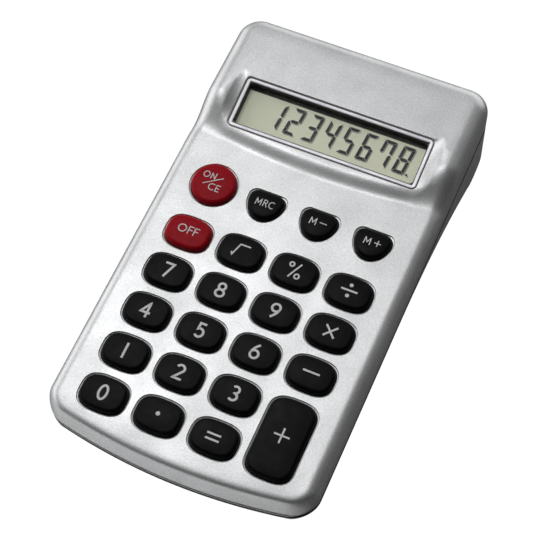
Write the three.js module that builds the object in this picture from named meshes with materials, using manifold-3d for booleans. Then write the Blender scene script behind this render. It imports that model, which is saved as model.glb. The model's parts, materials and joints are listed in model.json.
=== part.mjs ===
// A wedge-shaped desk calculator with an eight-digit display: two case shells, a display under a clear
// window, twenty-three separate keys over one silicone mat, a circuit board, one AA cell under a sliding
// door, screws and rubber feet. Run with the npm packages three and manifold-3d; the default export is
// the model.
//
// Everything but the feet is drawn in the keypad's own frame, in millimetres: X to the right, Y from the
// front edge towards the display, Z out of the keypad face, and the origin in the middle of the key grid.
// One group then leans the keypad back and stands the calculator on its feet.
import * as THREE from "three";
import { mergeVertices } from "three/addons/utils/BufferGeometryUtils.js";
import Module from "manifold-3d";

const wasm = await Module();
wasm.setup();

// ---- Driving dimensions ---------------------------------------------------------------------------------
const HALF_WIDTH = 35.2;
const FRONT_EDGE = -35.6;
const BACK_EDGE = 90.3;
const CORNER_RADIUS = 6.3;
const FRONT_BOW = 4.1; // how far the ends of the front edge fall back behind its middle
const BOW_END = 10; // the station where that bow has died away
const PARTING_Z = -6; // the joint between the two shells, below the keypad face
const WALL = 1.6;
const GAP = 0.3; // clearance between pieces that touch or fit

const LEAN = THREE.MathUtils.degToRad(7.6); // keypad face against the table
const FOOT_CLEARANCE = 0.9; // case above the table

const SIDE_FILLET = 3.2;
const HEAD_FILLET = 4.2;
const FRONT_SLOPE = 3.5; // rise over run of the front wall
const FRONT_LAND = 0.4; // upright strip of the front wall at the parting line
const CREASE_SOFTNESS = 0.5;

const HEAD_RISE = 3.8; // display head above the keypad face
const WAVE_FOOT = 50;
const WAVE_BOW = 3.4;
const WAVE_LENGTH = 9;
const SILL_RISE = 1.25; // the lower step in front of the display
const SILL_LENGTH = 4.5;

const BEZEL_FRONT = 56.4;
const BEZEL_SLOPE = THREE.MathUtils.degToRad(9);
const BEZEL_SIZE = new THREE.Vector2(52, 14.4);
const WINDOW_SIZE = new THREE.Vector2(49.9, 12.35);
const SCOOP_MIDDLE = 64;
const SCOOP_REACH = 9.6;
const SCOOP_WIDTH = 3.5;

const KEYPAD_BOTTOM = -8;
const RAMP_START = 22;
const BULGE_RADIUS = 10.5;
const BULGE_CENTRE_Z = -12.7;
const RAMP_ANGLE = THREE.MathUtils.degToRad(27.5);
const BOTTOM_FILLET = 1.2;
const BULGE_FILLET = 2.6;

const COLUMN_PITCH = 14.5;
const ROW_PITCH = 11.84;
const KEY_SIZE = new THREE.Vector2(11.6, 8.8);
const SHIELD_SIZE = new THREE.Vector2(9.4, 7.9);
const KEY_HEIGHT = 1.4;
const KEY_SHOULDER = new THREE.Vector2(0.9, 0.6);
const KEY_FLANGE = 0.8;
const KEY_FOOT = -2.6; // underside of the key, just above its dome
const TOP_ROW_Y = 38;

const DOME_TOP = -2.9;
const MAT_TOP = -4.2;
const MAT_BOTTOM = -4.7;
const BOARD_TOP = -5;
const BOARD_BOTTOM = -5.9;
const BOARD_FRONT = -30.3;
const BOARD_END = 63.5;

const CELL_RADIUS = 7.25;
const CELL_LEFT = -23.8;
const CELL_LENGTH = 50.5;
const CONTACT_THICKNESS = 0.4;
const CELL_CENTRE = new THREE.Vector2(78.8, -12); // Y and Z of the cell's axis
const DOOR_HALF_WIDTH = 26.6;
const DOOR_FRONT = 66;
const DOOR_TOP = -10;

const FRONT_SCREW = new THREE.Vector2(31, -17.8);
const REAR_SCREW = new THREE.Vector2(30.5, 46);
const BOARD_SCREW = new THREE.Vector2(20, 48.6);

// ---- Materials ------------------------------------------------------------------------------------------
const finish = (color, roughness, metalness, extra = {}) =>
  new THREE.MeshStandardMaterial({ color, roughness, metalness, ...extra });

const silverPaint = finish(0xc9cacb, 0.38, 0.55);
const brightBezel = finish(0xd6d4dc, 0.3, 0.6);
const blackKey = finish(0x1c1c1d, 0.42, 0);
const redKey = finish(0x9c1f2c, 0.42, 0);
const clearWindow = finish(0xf4f6f4, 0.05, 0, { transparent: true, opacity: 0.25 });
const lcdGlass = finish(0xbcbea8, 0.2, 0);
const silicone = finish(0xb9b7ae, 0.7, 0);
const boardGreen = finish(0x2c6a3e, 0.5, 0);
const blackPlastic = finish(0x202022, 0.5, 0);
const rubber = finish(0x2b2b2c, 0.85, 0);
const steel = finish(0xb4b6b8, 0.3, 1);
const cellJacket = finish(0x33475c, 0.35, 0.2);
const redWire = finish(0xb02020, 0.5, 0);
const blackWire = finish(0x1a1a1a, 0.5, 0);

// ---- Solids ---------------------------------------------------------------------------------------------
const keypad = new THREE.Group(); // the leaning group, in the keypad's frame
const calculator = new THREE.Group();
calculator.add(keypad);

function solid(geometry) {
  const bare = geometry.clone();
  bare.deleteAttribute("normal");
  bare.deleteAttribute("uv");
  const merged = mergeVertices(bare, 1e-4);
  return new wasm.Manifold(
    new wasm.Mesh({
      numProp: 3,
      vertProperties: merged.attributes.position.array,
      triVerts: new Uint32Array(merged.index.array),
    }),
  );
}

function geometryOf(manifold) {
  const { vertProperties, triVerts } = manifold.getMesh();
  const geometry = new THREE.BufferGeometry();
  geometry.setAttribute("position", new THREE.BufferAttribute(vertProperties, 3));
  geometry.setIndex(new THREE.BufferAttribute(triVerts, 1));
  return geometry;
}

function place(name, shape, material, parent = keypad) {
  const geometry = shape.isBufferGeometry ? shape : geometryOf(shape);
  const mesh = new THREE.Mesh(geometry, material);
  mesh.name = name;
  parent.add(mesh);
  return mesh;
}

// A box given by its two corners.
function block(low, high) {
  const size = new THREE.Vector3().subVectors(high, low);
  const middle = new THREE.Vector3().addVectors(high, low).multiplyScalar(0.5);
  return new THREE.BoxGeometry(size.x, size.y, size.z).translate(middle.x, middle.y, middle.z);
}

// An upright round post between two heights.
function post(x, y, bottom, top, radius, sides = 16) {
  return new THREE.CylinderGeometry(radius, radius, top - bottom, sides)
    .rotateX(Math.PI / 2)
    .translate(x, y, (top + bottom) / 2);
}

// A solid lofted through closed loops that all have the same number of points, with a fan at each end.
function loft(loops) {
  const count = loops[0].length;
  const points = loops.flat();
  const faces = [];
  for (let row = 0; row + 1 < loops.length; row++) {
    for (let i = 0; i < count; i++) {
      const a = row * count + i;
      const b = row * count + ((i + 1) % count);
      faces.push(a, b, b + count, a, b + count, a + count);
    }
  }
  for (const [first, turn] of [[0, false], [(loops.length - 1) * count, true]]) {
    const middle = new THREE.Vector3();
    for (let i = 0; i < count; i++) middle.addScaledVector(points[first + i], 1 / count);
    const hub = points.push(middle) - 1;
    for (let i = 0; i < count; i++) {
      const a = first + i;
      const b = first + ((i + 1) % count);
      faces.push(...(turn ? [a, b, hub] : [b, a, hub]));
    }
  }
  const geometry = new THREE.BufferGeometry().setFromPoints(points);
  geometry.setIndex(faces);
  return geometry;
}

// A flat slab with a given outline and optional holes, between two heights.
function slab(outline, bottom, top, holes = []) {
  const shape = new THREE.Shape(outline);
  shape.holes = holes.map((points) => new THREE.Path(points));
  const extruded = new THREE.ExtrudeGeometry(shape, { depth: top - bottom, bevelEnabled: false });
  return extruded.translate(0, 0, bottom);
}

function roundedRectangle(width, height, radius, segments = 4) {
  const points = [];
  for (let corner = 0; corner < 4; corner++) {
    const sx = corner === 0 || corner === 3 ? 1 : -1;
    const sy = corner < 2 ? 1 : -1;
    for (let i = 0; i <= segments; i++) {
      const angle = ((corner + i / segments) * Math.PI) / 2;
      points.push(
        new THREE.Vector2(
          sx * (width / 2 - radius) + radius * Math.cos(angle),
          sy * (height / 2 - radius) + radius * Math.sin(angle),
        ),
      );
    }
  }
  return points;
}

// ---- The case's outer form ------------------------------------------------------------------------------
const clamp01 = (value) => Math.min(Math.max(value, 0), 1);
const ease = (value) => clamp01(value) ** 2 * (3 - 2 * clamp01(value));

// How far the front bow moves a point of the straight outline back.
function bow(x, station) {
  return FRONT_BOW * (x / HALF_WIDTH) ** 2 * clamp01((BOW_END - station) / (BOW_END - FRONT_EDGE));
}

function halfWidthAt(station, inset = 0) {
  const radius = CORNER_RADIUS - inset;
  const fromEnd = Math.min(station - FRONT_EDGE, BACK_EDGE - station) - inset;
  const short = radius - THREE.MathUtils.clamp(fromEnd, 0, radius);
  return HALF_WIDTH - inset - radius + Math.sqrt(radius ** 2 - short ** 2);
}

// Distance in from the rounded outline, and how much of the nearest edge faces the front.
function edgeAt(x, station) {
  const middle = (FRONT_EDGE + BACK_EDGE) / 2;
  const across = Math.abs(x) - (HALF_WIDTH - CORNER_RADIUS);
  const along = Math.abs(station - middle) - ((BACK_EDGE - FRONT_EDGE) / 2 - CORNER_RADIUS);
  const inCorner = across > 0 && along > 0;
  const reach = inCorner ? Math.hypot(across, along) : Math.max(across, along);
  const facing = inCorner ? along / reach : along > across ? 1 : 0;
  return { inward: CORNER_RADIUS - reach, front: station < middle ? facing ** 2 : 0 };
}

function fillet(radius, inward) {
  const short = radius - THREE.MathUtils.clamp(inward, 0, radius);
  return radius - Math.sqrt(radius ** 2 - short ** 2);
}

// Height of the top face before its edges are rounded: keypad, wave, display head and display recess.
function crown(x, y) {
  const past = y - (WAVE_FOOT + WAVE_BOW * (x / HALF_WIDTH) ** 2);
  const head = HEAD_RISE * ease(past / WAVE_LENGTH);
  const bezelBack = BEZEL_FRONT + BEZEL_SIZE.y * Math.cos(BEZEL_SLOPE);
  const floor = SILL_RISE * ease(past / SILL_LENGTH) + Math.max(y - BEZEL_FRONT, 0) * Math.tan(BEZEL_SLOPE);
  const bezelSide = BEZEL_SIZE.x / 2;
  const swell = Math.sqrt(Math.max(0, 1 - ((y - SCOOP_MIDDLE) / SCOOP_REACH) ** 2));
  const outside = Math.abs(x) - bezelSide;
  if (outside <= 0) return y < bezelBack + GAP ? floor : head;
  const share = clamp01(outside / Math.max(SCOOP_WIDTH * swell, 0.01));
  return Math.min(floor, head) + (head - Math.min(floor, head)) * share ** 2;
}

function topHeight(x, y, station) {
  const { inward, front } = edgeAt(x, station);
  const radius = THREE.MathUtils.lerp(SIDE_FILLET, HEAD_FILLET, ease((y - WAVE_FOOT) / WAVE_LENGTH));
  const wallDepth = -PARTING_Z - FRONT_LAND - FRONT_SLOPE * inward;
  const frontDrop = (wallDepth + Math.hypot(wallDepth, CREASE_SOFTNESS)) / 2;
  return crown(x, y) - THREE.MathUtils.lerp(fillet(radius, inward), frontDrop, front);
}

// Height of the underside: flat below the keys, then a ramp down to the round battery bulge.
const bulgeCentreY = BACK_EDGE - BULGE_RADIUS;
const rampEnd = bulgeCentreY - BULGE_RADIUS * Math.sin(RAMP_ANGLE);
const rampCurve = Math.tan(RAMP_ANGLE) / (2 * (rampEnd - RAMP_START));

function underside(station, inset = 0) {
  if (station > rampEnd) {
    const radius = BULGE_RADIUS - inset;
    const along = THREE.MathUtils.clamp(station - bulgeCentreY, -radius, radius);
    return BULGE_CENTRE_Z - Math.sqrt(radius ** 2 - along ** 2);
  }
  const past = Math.max(station - RAMP_START, 0);
  return KEYPAD_BOTTOM - rampCurve * past ** 2 + inset * Math.hypot(1, 2 * rampCurve * past);
}

// Columns run from one edge to the other: finely over the rounded edges, then evenly in between.
const EDGE_COLUMNS = [0, 0.4, 1.4, 3.4];
const INNER_COLUMNS = [29.6, 28, 26, 13];

function columnsAt(station, inset) {
  const half = halfWidthAt(station, inset);
  const last = EDGE_COLUMNS[EDGE_COLUMNS.length - 1];
  const scale = (half - last) / (HALF_WIDTH - last);
  const right = [...EDGE_COLUMNS.map((step) => half - step), ...INNER_COLUMNS.map((x) => x * scale)];
  return [...right.map((x) => -x), 0, ...right.reverse()];
}

// A shell's block: one sculpted face, closed by a flat face at height z. Loops are lofted front to back.
function formedBlock(stations, inset, z, heightAt) {
  const loops = stations.map((station) => {
    const face = columnsAt(station, inset).map((x) => {
      const y = station + bow(x, station);
      return new THREE.Vector3(x, y, heightAt(x, y, station));
    });
    const edge = [face[face.length - 1], face[0]].map((point) => new THREE.Vector3(point.x, point.y, z));
    return [...face, ...edge];
  });
  const upward = loops[0][0].z > z;
  return loft(upward ? loops : loops.map((loop) => loop.reverse()));
}

const stationsFrom = (front, back, steps) => [
  ...steps.front.map((step) => front + step),
  ...steps.middle,
  ...steps.back.map((step) => back - step),
];

const EDGE_CHAMFER = new THREE.Vector2(2, 1.4); // its run in from the wall, and its drop
const WAVE_STATIONS = [50, 51.5, 53, 54.5, 56.1, 58, 61, 66, 70, 71, 73.6];

function upperBlock() {
  const stations = stationsFrom(FRONT_EDGE, BACK_EDGE, {
    front: [0, 0.8, 1.3, 1.8, 2.6, CORNER_RADIUS],
    middle: [BOW_END, ...WAVE_STATIONS],
    back: [CORNER_RADIUS, 3.8, 1.5, 0.4, 0],
  });
  return solid(formedBlock(stations, 0, PARTING_Z, topHeight));
}

function upperHollow() {
  const roof = (x, y) => Math.min(crown(x, y), crown(0.9 * x, y)) - WALL;
  const stations = stationsFrom(FRONT_EDGE + WALL, BACK_EDGE - WALL, {
    front: [0, 0.8, 2.2, CORNER_RADIUS],
    middle: [BOW_END, ...WAVE_STATIONS],
    back: [CORNER_RADIUS, 2.4, 0.8, 0],
  });
  const face = (x, y, station) => roof(x, y) - EDGE_CHAMFER.y * chamferShare(x, station);
  return solid(formedBlock(stations, WALL, PARTING_Z - 1, face));
}

// Inside, a plain chamfer follows the rounded outer edge: 1 at the wall, 0 past the chamfer's run.
function chamferShare(x, station) {
  return 1 - clamp01((edgeAt(x, station).inward - WALL) / EDGE_CHAMFER.x);
}

const BULGE_ANGLES = [0, 18, 36, 52, 66, 78, 90].map(THREE.MathUtils.degToRad);

function lowerStations(inset) {
  const front = [0, 0.4, 1.2, 3, CORNER_RADIUS].map((step) => FRONT_EDGE + inset + step);
  const bulge = BULGE_ANGLES.map((angle) => bulgeCentreY + (BULGE_RADIUS - inset) * Math.sin(angle));
  return [...front, BOW_END, RAMP_START, 32, 42, 52, 61, 69, rampEnd, ...bulge];
}

function lowerFace(inset) {
  return (x, y, station) => {
    const radius = station < RAMP_START ? BOTTOM_FILLET : BULGE_FILLET;
    const fromSide = halfWidthAt(station, inset) - Math.abs(x);
    const fromFront = station - FRONT_EDGE - inset;
    const rounding = Math.max(fillet(radius, fromSide), fillet(BOTTOM_FILLET, fromFront));
    return Math.min(underside(station, inset) + rounding, PARTING_Z - 2 * GAP);
  };
}

const lowerBlock = solid(formedBlock(lowerStations(0), 0, PARTING_Z - GAP, lowerFace(0)));
const lowerHollow = solid(formedBlock(lowerStations(WALL), WALL, PARTING_Z + 2, lowerFace(WALL)));

// ---- Keys -----------------------------------------------------------------------------------------------
// A barrel-sided outline: a superellipse, with an optional straight stretch let in at its middle.
function barrelOutline(width, height, stretch = 0, sides = 20) {
  const roundness = 2 / 2.9;
  const points = [];
  for (let i = 0; i < sides; i++) {
    const angle = ((i + 0.5) / sides) * 2 * Math.PI;
    const x = Math.sign(Math.cos(angle)) * Math.abs(Math.cos(angle)) ** roundness;
    const y = Math.sign(Math.sin(angle)) * Math.abs(Math.sin(angle)) ** roundness;
    const reach = (y * (height - stretch) + Math.sign(y) * stretch) / 2;
    points.push(new THREE.Vector2((x * width) / 2, reach));
  }
  return points;
}

// A round-bottomed outline with a flat top, like a shield.
function shieldOutline(width, height) {
  const cornerRadius = 2.2;
  const shoulder = height / 2 - cornerRadius;
  const points = [];
  for (let i = 0; i <= 3; i++) {
    const angle = (i / 3) * (Math.PI / 2);
    const x = width / 2 - cornerRadius * (1 - Math.cos(angle));
    points.push(new THREE.Vector2(x, shoulder + cornerRadius * Math.sin(angle)));
  }
  for (let i = 3; i >= 0; i--) points.push(new THREE.Vector2(-points[i].x, points[i].y));
  for (let i = 1; i < 12; i++) {
    const angle = Math.PI + (i / 12) * Math.PI;
    const y = shoulder + (height / 2 + shoulder) * Math.sin(angle);
    points.push(new THREE.Vector2((width / 2) * Math.cos(angle), y));
  }
  return points;
}

function roundOutline(radius, sides = 20) {
  return Array.from({ length: sides }, (_, i) => {
    const angle = ((i + 0.5) / sides) * 2 * Math.PI;
    return new THREE.Vector2(radius * Math.cos(angle), radius * Math.sin(angle));
  });
}

const OUTLINES = {
  barrel: (grow) => barrelOutline(KEY_SIZE.x + 2 * grow, KEY_SIZE.y + 2 * grow),
  tall: (grow) => barrelOutline(KEY_SIZE.x + 2 * grow, KEY_SIZE.y + ROW_PITCH + 2 * grow, ROW_PITCH),
  round: (grow) => roundOutline(KEY_SIZE.x / 2 + grow),
  shield: (grow) => shieldOutline(SHIELD_SIZE.x + 2 * grow, SHIELD_SIZE.y + 2 * grow),
};

const column = (index) => (index - 1.5) * COLUMN_PITCH;
const row = (index) => (index - 2) * ROW_PITCH;

// name, outline, column, row counted from the front
const KEYS = [
  ["key_0", "barrel", 0, 0],
  ["key_decimal", "barrel", 1, 0],
  ["key_equals", "barrel", 2, 0],
  ["key_plus", "tall", 3, 0.5],
  ["key_1", "barrel", 0, 1],
  ["key_2", "barrel", 1, 1],
  ["key_3", "barrel", 2, 1],
  ["key_4", "barrel", 0, 2],
  ["key_5", "barrel", 1, 2],
  ["key_6", "barrel", 2, 2],
  ["key_minus", "barrel", 3, 2],
  ["key_7", "barrel", 0, 3],
  ["key_8", "barrel", 1, 3],
  ["key_9", "barrel", 2, 3],
  ["key_multiply", "barrel", 3, 3],
  ["key_off", "barrel", 0, 4],
  ["key_sqrt", "barrel", 1, 4],
  ["key_percent", "barrel", 2, 4],
  ["key_divide", "barrel", 3, 4],
  ["key_on_clear", "round", 0, TOP_ROW_Y / ROW_PITCH + 2.08],
  ["key_memory_recall", "shield", 1, TOP_ROW_Y / ROW_PITCH + 2],
  ["key_memory_minus", "shield", 2, TOP_ROW_Y / ROW_PITCH + 2],
  ["key_memory_plus", "shield", 3, TOP_ROW_Y / ROW_PITCH + 2],
].map(([name, outline, across, up]) => ({ name, outline, x: column(across), y: row(up) }));

const RED_KEYS = ["key_off", "key_on_clear"];

// Flange under the case, neck through the hole, and a cap with a rounded shoulder and a slight dome.
function keySolid({ outline, x, y }) {
  const flangeTop = -WALL - GAP;
  const levels = [
    [KEY_FLANGE, KEY_FOOT],
    [KEY_FLANGE, flangeTop],
    [0, flangeTop],
    [0, KEY_HEIGHT - KEY_SHOULDER.y],
    [-KEY_SHOULDER.x, KEY_HEIGHT],
  ];
  const ring = ([grow, z]) => OUTLINES[outline](grow).map((at) => new THREE.Vector3(x + at.x, y + at.y, z));
  return loft(levels.map(ring));
}

function keyHole({ outline, x, y }) {
  return solid(slab(OUTLINES[outline](GAP), -WALL - 2, 2).translate(x, y, 0));
}

function domePositions({ name, x, y }) {
  return name === "key_plus" ? [[x, y - ROW_PITCH / 2], [x, y + ROW_PITCH / 2]] : [[x, y]];
}

// ---- The display's own frame ----------------------------------------------------------------------------
// Its origin is the middle of the bezel's face, with Y up the slope and Z out of the glass.
const display = new THREE.Group();
display.rotation.x = BEZEL_SLOPE;
display.position.set(
  0,
  BEZEL_FRONT + (BEZEL_SIZE.y / 2) * Math.cos(BEZEL_SLOPE),
  SILL_RISE + (BEZEL_SIZE.y / 2) * Math.sin(BEZEL_SLOPE),
);
keypad.add(display);
display.updateMatrix();

function makeDisplay() {
  const bezelThickness = 1;
  const opening = roundedRectangle(WINDOW_SIZE.x, WINDOW_SIZE.y, 0.5, 2);
  const outer = roundedRectangle(BEZEL_SIZE.x, BEZEL_SIZE.y, 1.2, 3);
  place("display_bezel", slab(outer, -bezelThickness, 0, [opening]), brightBezel, display);

  const windowTop = -bezelThickness - GAP;
  const pane = roundedRectangle(BEZEL_SIZE.x - 2 * GAP, BEZEL_SIZE.y - 2 * GAP, 0.8, 2);
  place("display_window", slab(pane, windowTop - 0.8, windowTop), clearWindow, display);

  const glassTop = windowTop - 0.8 - GAP;
  const glassBottom = glassTop - 1.8;
  const [glassHalfX, glassHalfY] = [27.5, 8.5];
  const glass = block(
    new THREE.Vector3(-glassHalfX, -glassHalfY, glassBottom),
    new THREE.Vector3(glassHalfX, glassHalfY, glassTop),
  );
  place("lcd_panel", glass, lcdGlass, display);

  // The retainer's front bar is narrow, to leave room for the rubber connector under the glass's front edge.
  const retainerTop = glassBottom - GAP;
  const rim = 1.3;
  const ring = block(
    new THREE.Vector3(-glassHalfX - rim, -glassHalfY - rim, retainerTop - 0.9),
    new THREE.Vector3(glassHalfX + rim, glassHalfY + rim, retainerTop),
  );
  const inside = block(
    new THREE.Vector3(-glassHalfX + 3, -glassHalfY + 0.6, retainerTop - 2),
    new THREE.Vector3(glassHalfX - 3, glassHalfY - 2, retainerTop + 1),
  );
  place("lcd_retainer", solid(ring).subtract(solid(inside)), blackPlastic, display);
}

// ---- Case shells ----------------------------------------------------------------------------------------
const bothSides = ({ x, y }) => [[-x, y], [x, y]];
const SCREW_HOLE_RADIUS = 1.3;
const BOSS_RADIUS = 1.9;
const SEAT_Z = -5.6; // where the upper shell's bosses meet the lower shell's
const FRONT_SEAT_Z = -6.6; // where the screw heads seat
const REAR_SEAT_Z = -7.4;
const UNDERSIDE_Z = -14; // below the lower shell at every screw
const SCREW_HEAD = new THREE.Vector2(1.8, 1); // its radius and height
const BOARD_SCREW_HEAD = new THREE.Vector2(1.7, 0.8);
const LIP_END = CORNER_RADIUS + 4;
const LIP_THICKNESS = 0.8;
const LIP_HEIGHT = 1;
const CELL_PLATES = [[-30.6, -29.1], [27.8, 29.3]]; // left and right faces of the two end plates

function makeUpperCase() {
  let shell = upperBlock().subtract(upperHollow());
  for (const [x, y] of [...bothSides(FRONT_SCREW), ...bothSides(REAR_SCREW)]) {
    shell = shell.add(solid(post(x, y, SEAT_Z, -WALL + 0.6, BOSS_RADIUS)));
    shell = shell.subtract(solid(post(x, y, SEAT_Z - 1, -WALL - 0.4, SCREW_HOLE_RADIUS, 12)));
  }
  for (const [x, y] of bothSides(BOARD_SCREW)) {
    shell = shell.add(solid(post(x, y, BOARD_TOP + GAP, -WALL + 0.6, BOSS_RADIUS)));
    shell = shell.subtract(solid(post(x, y, BOARD_TOP - 1, -WALL - 0.4, 1.1, 12)));
  }
  for (const key of KEYS) shell = shell.subtract(keyHole(key));
  const opening = slab(roundedRectangle(BEZEL_SIZE.x + 2 * GAP, BEZEL_SIZE.y + 2 * GAP, 1.5, 3), -7, 4);
  shell = shell.subtract(solid(opening.applyMatrix4(display.matrix)));
  place("upper_case", shell, silverPaint);
}

// The door's share of the lower shell; grown by the gap it is also the hole the door closes.
function doorPrism(grow) {
  return solid(
    block(
      new THREE.Vector3(-DOOR_HALF_WIDTH - grow, DOOR_FRONT - grow, KEYPAD_BOTTOM - 25),
      new THREE.Vector3(DOOR_HALF_WIDTH + grow, BACK_EDGE + 5, DOOR_TOP + grow),
    ),
  );
}

// Upright lips along both sides, inside the upper shell's wall, each on a shelf joined to the lower shell.
function sideLips() {
  const [front, back] = [FRONT_EDGE + LIP_END, BACK_EDGE - LIP_END];
  const inner = HALF_WIDTH - WALL - GAP - LIP_THICKNESS;
  const low = new THREE.Vector3(inner, front, PARTING_Z - GAP - 1);
  const shelf = new THREE.Vector3(HALF_WIDTH - WALL + 0.5, back, PARTING_Z - GAP);
  const lip = new THREE.Vector3(HALF_WIDTH - WALL - GAP, back, PARTING_Z + LIP_HEIGHT);
  const right = solid(block(low, shelf)).add(solid(block(low, lip)));
  return right.add(right.mirror([1, 0, 0]));
}

function makeLowerCase() {
  const skin = lowerBlock.subtract(lowerHollow);
  place("battery_door", skin.intersect(doorPrism(0)), silverPaint);

  let shell = skin.subtract(doorPrism(GAP)).add(sideLips());
  for (const [x, y] of [...bothSides(FRONT_SCREW), ...bothSides(REAR_SCREW)]) {
    shell = shell.subtract(solid(post(x, y, SEAT_Z - GAP, 0, BOSS_RADIUS + GAP)));
  }

  const plateFront = DOOR_FRONT - 1.7;
  const crossWall = [CELL_PLATES[0][0], CELL_PLATES[1][1], DOOR_FRONT - 0.5, DOOR_TOP + 1.5];
  const endPlates = CELL_PLATES.map(([left, right]) => [left, right, BACK_EDGE - 1.5, PARTING_Z + 0.8]);
  for (const [left, right, back, top] of [crossWall, ...endPlates]) {
    const plate = block(new THREE.Vector3(left, plateFront, -24), new THREE.Vector3(right, back, top));
    shell = shell.add(solid(plate).intersect(lowerBlock));
  }

  const seats = [
    ...bothSides(FRONT_SCREW).map((at) => [...at, FRONT_SEAT_Z]),
    ...bothSides(REAR_SCREW).map((at) => [...at, REAR_SEAT_Z]),
  ];
  for (const [x, y, seat] of seats) {
    const collar = solid(post(x, y, PARTING_Z - 1, SEAT_Z, 2.2));
    const boss = solid(post(x, y, UNDERSIDE_Z, SEAT_Z - GAP, 2.9)).intersect(lowerBlock.add(collar));
    shell = shell.add(boss);
    shell = shell.subtract(solid(post(x, y, UNDERSIDE_Z, seat, SCREW_HEAD.x + GAP)));
    shell = shell.subtract(solid(post(x, y, UNDERSIDE_Z, SEAT_Z + 1, SCREW_HOLE_RADIUS, 12)));
  }
  place("lower_case", shell, silverPaint);
  return seats;
}

// ---- Inside ---------------------------------------------------------------------------------------------
function makeKeys() {
  for (const key of KEYS) place(key.name, keySolid(key), RED_KEYS.includes(key.name) ? redKey : blackKey);
}

function makeDomeMat() {
  const halfMat = 28.7;
  let mat = solid(
    block(new THREE.Vector3(-halfMat, -30, MAT_BOTTOM), new THREE.Vector3(halfMat, 45.5, MAT_TOP)),
  );
  const root = MAT_TOP - GAP; // the domes start inside the sheet
  for (const key of KEYS) {
    for (const [x, y] of domePositions(key)) {
      const dome = new THREE.CylinderGeometry(2, 3.2, DOME_TOP - root, 8).rotateX(Math.PI / 2);
      mat = mat.add(solid(dome.translate(x, y, (DOME_TOP + root) / 2)));
    }
  }
  place("dome_mat", mat, silicone);
}

function makeBoard() {
  const halfBoard = 31.5;
  let board = solid(
    block(
      new THREE.Vector3(-halfBoard, BOARD_FRONT, BOARD_BOTTOM),
      new THREE.Vector3(halfBoard, BOARD_END, BOARD_TOP),
    ),
  );
  const cuts = [
    ...[...bothSides(FRONT_SCREW), ...bothSides(REAR_SCREW)].map((at) => [...at, 2.5]),
    ...bothSides(new THREE.Vector2(halfBoard, BOARD_FRONT - 1.2)).map((at) => [...at, 6]),
    ...bothSides(BOARD_SCREW).map((at) => [...at, 1.2]),
  ];
  for (const [x, y, radius] of cuts) {
    board = board.subtract(solid(post(x, y, BOARD_BOTTOM - 1, BOARD_TOP + 1, radius)));
  }
  place("circuit_board", board, boardGreen);

  const dot = new THREE.LatheGeometry(
    [[0, 0], [2.2, 0.1], [3.6, 0.5], [4.2, 1.2], [0, 1.2]].map(([x, y]) => new THREE.Vector2(x, y)),
    16,
  );
  place("processor_chip", dot.rotateX(Math.PI / 2).translate(0, 54, BOARD_BOTTOM - GAP - 1.2), blackPlastic);

  const can = new THREE.CylinderGeometry(2.5, 2.5, 7, 16).rotateZ(Math.PI / 2);
  place("capacitor", can.translate(14, 57, BOARD_BOTTOM - GAP - 2.5), blackPlastic);

  const strip = block(new THREE.Vector3(-24, 57.3, BOARD_TOP + GAP), new THREE.Vector3(24, 58.9, -3.15));
  place("display_connector", strip, rubber);
}

// A screw pointing up, with its head's underside at height z.
function screw(x, y, z, head, shankRadius, length) {
  const profile = [
    [0, -head.y],
    [head.x * 0.75, -head.y],
    [head.x, -head.y * 0.6],
    [head.x, 0],
    [shankRadius, 0],
    [shankRadius, length - 0.8],
    [shankRadius * 0.4, length],
    [0, length],
  ].map(([r, h]) => new THREE.Vector2(r, h));
  return new THREE.LatheGeometry(profile, 12).rotateX(Math.PI / 2).translate(x, y, z);
}

function makeScrews(seats) {
  const tip = -WALL - 1;
  seats.forEach(([x, y, seat], i) => {
    const z = seat - GAP;
    place(`case_screw_${i + 1}`, screw(x, y, z, SCREW_HEAD, 1, tip - z), steel);
  });
  bothSides(BOARD_SCREW).forEach(([x, y], i) => {
    const z = BOARD_BOTTOM - GAP;
    place(`board_screw_${i + 1}`, screw(x, y, z, BOARD_SCREW_HEAD, 0.8, tip - z), steel);
  });
}

// A coil spring, as the path of its wire.
class Helix extends THREE.Curve {
  constructor(radius, length, turns) {
    super();
    Object.assign(this, { radius, length, turns });
  }

  getPoint(share, target = new THREE.Vector3()) {
    const angle = share * this.turns * 2 * Math.PI;
    return target.set(share * this.length, this.radius * Math.cos(angle), this.radius * Math.sin(angle));
  }
}

function wire(path, radius, steps, sides = 6) {
  const section = new THREE.Shape(roundOutline(radius, sides));
  return new THREE.ExtrudeGeometry(section, { extrudePath: path, steps, bevelEnabled: false });
}

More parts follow.
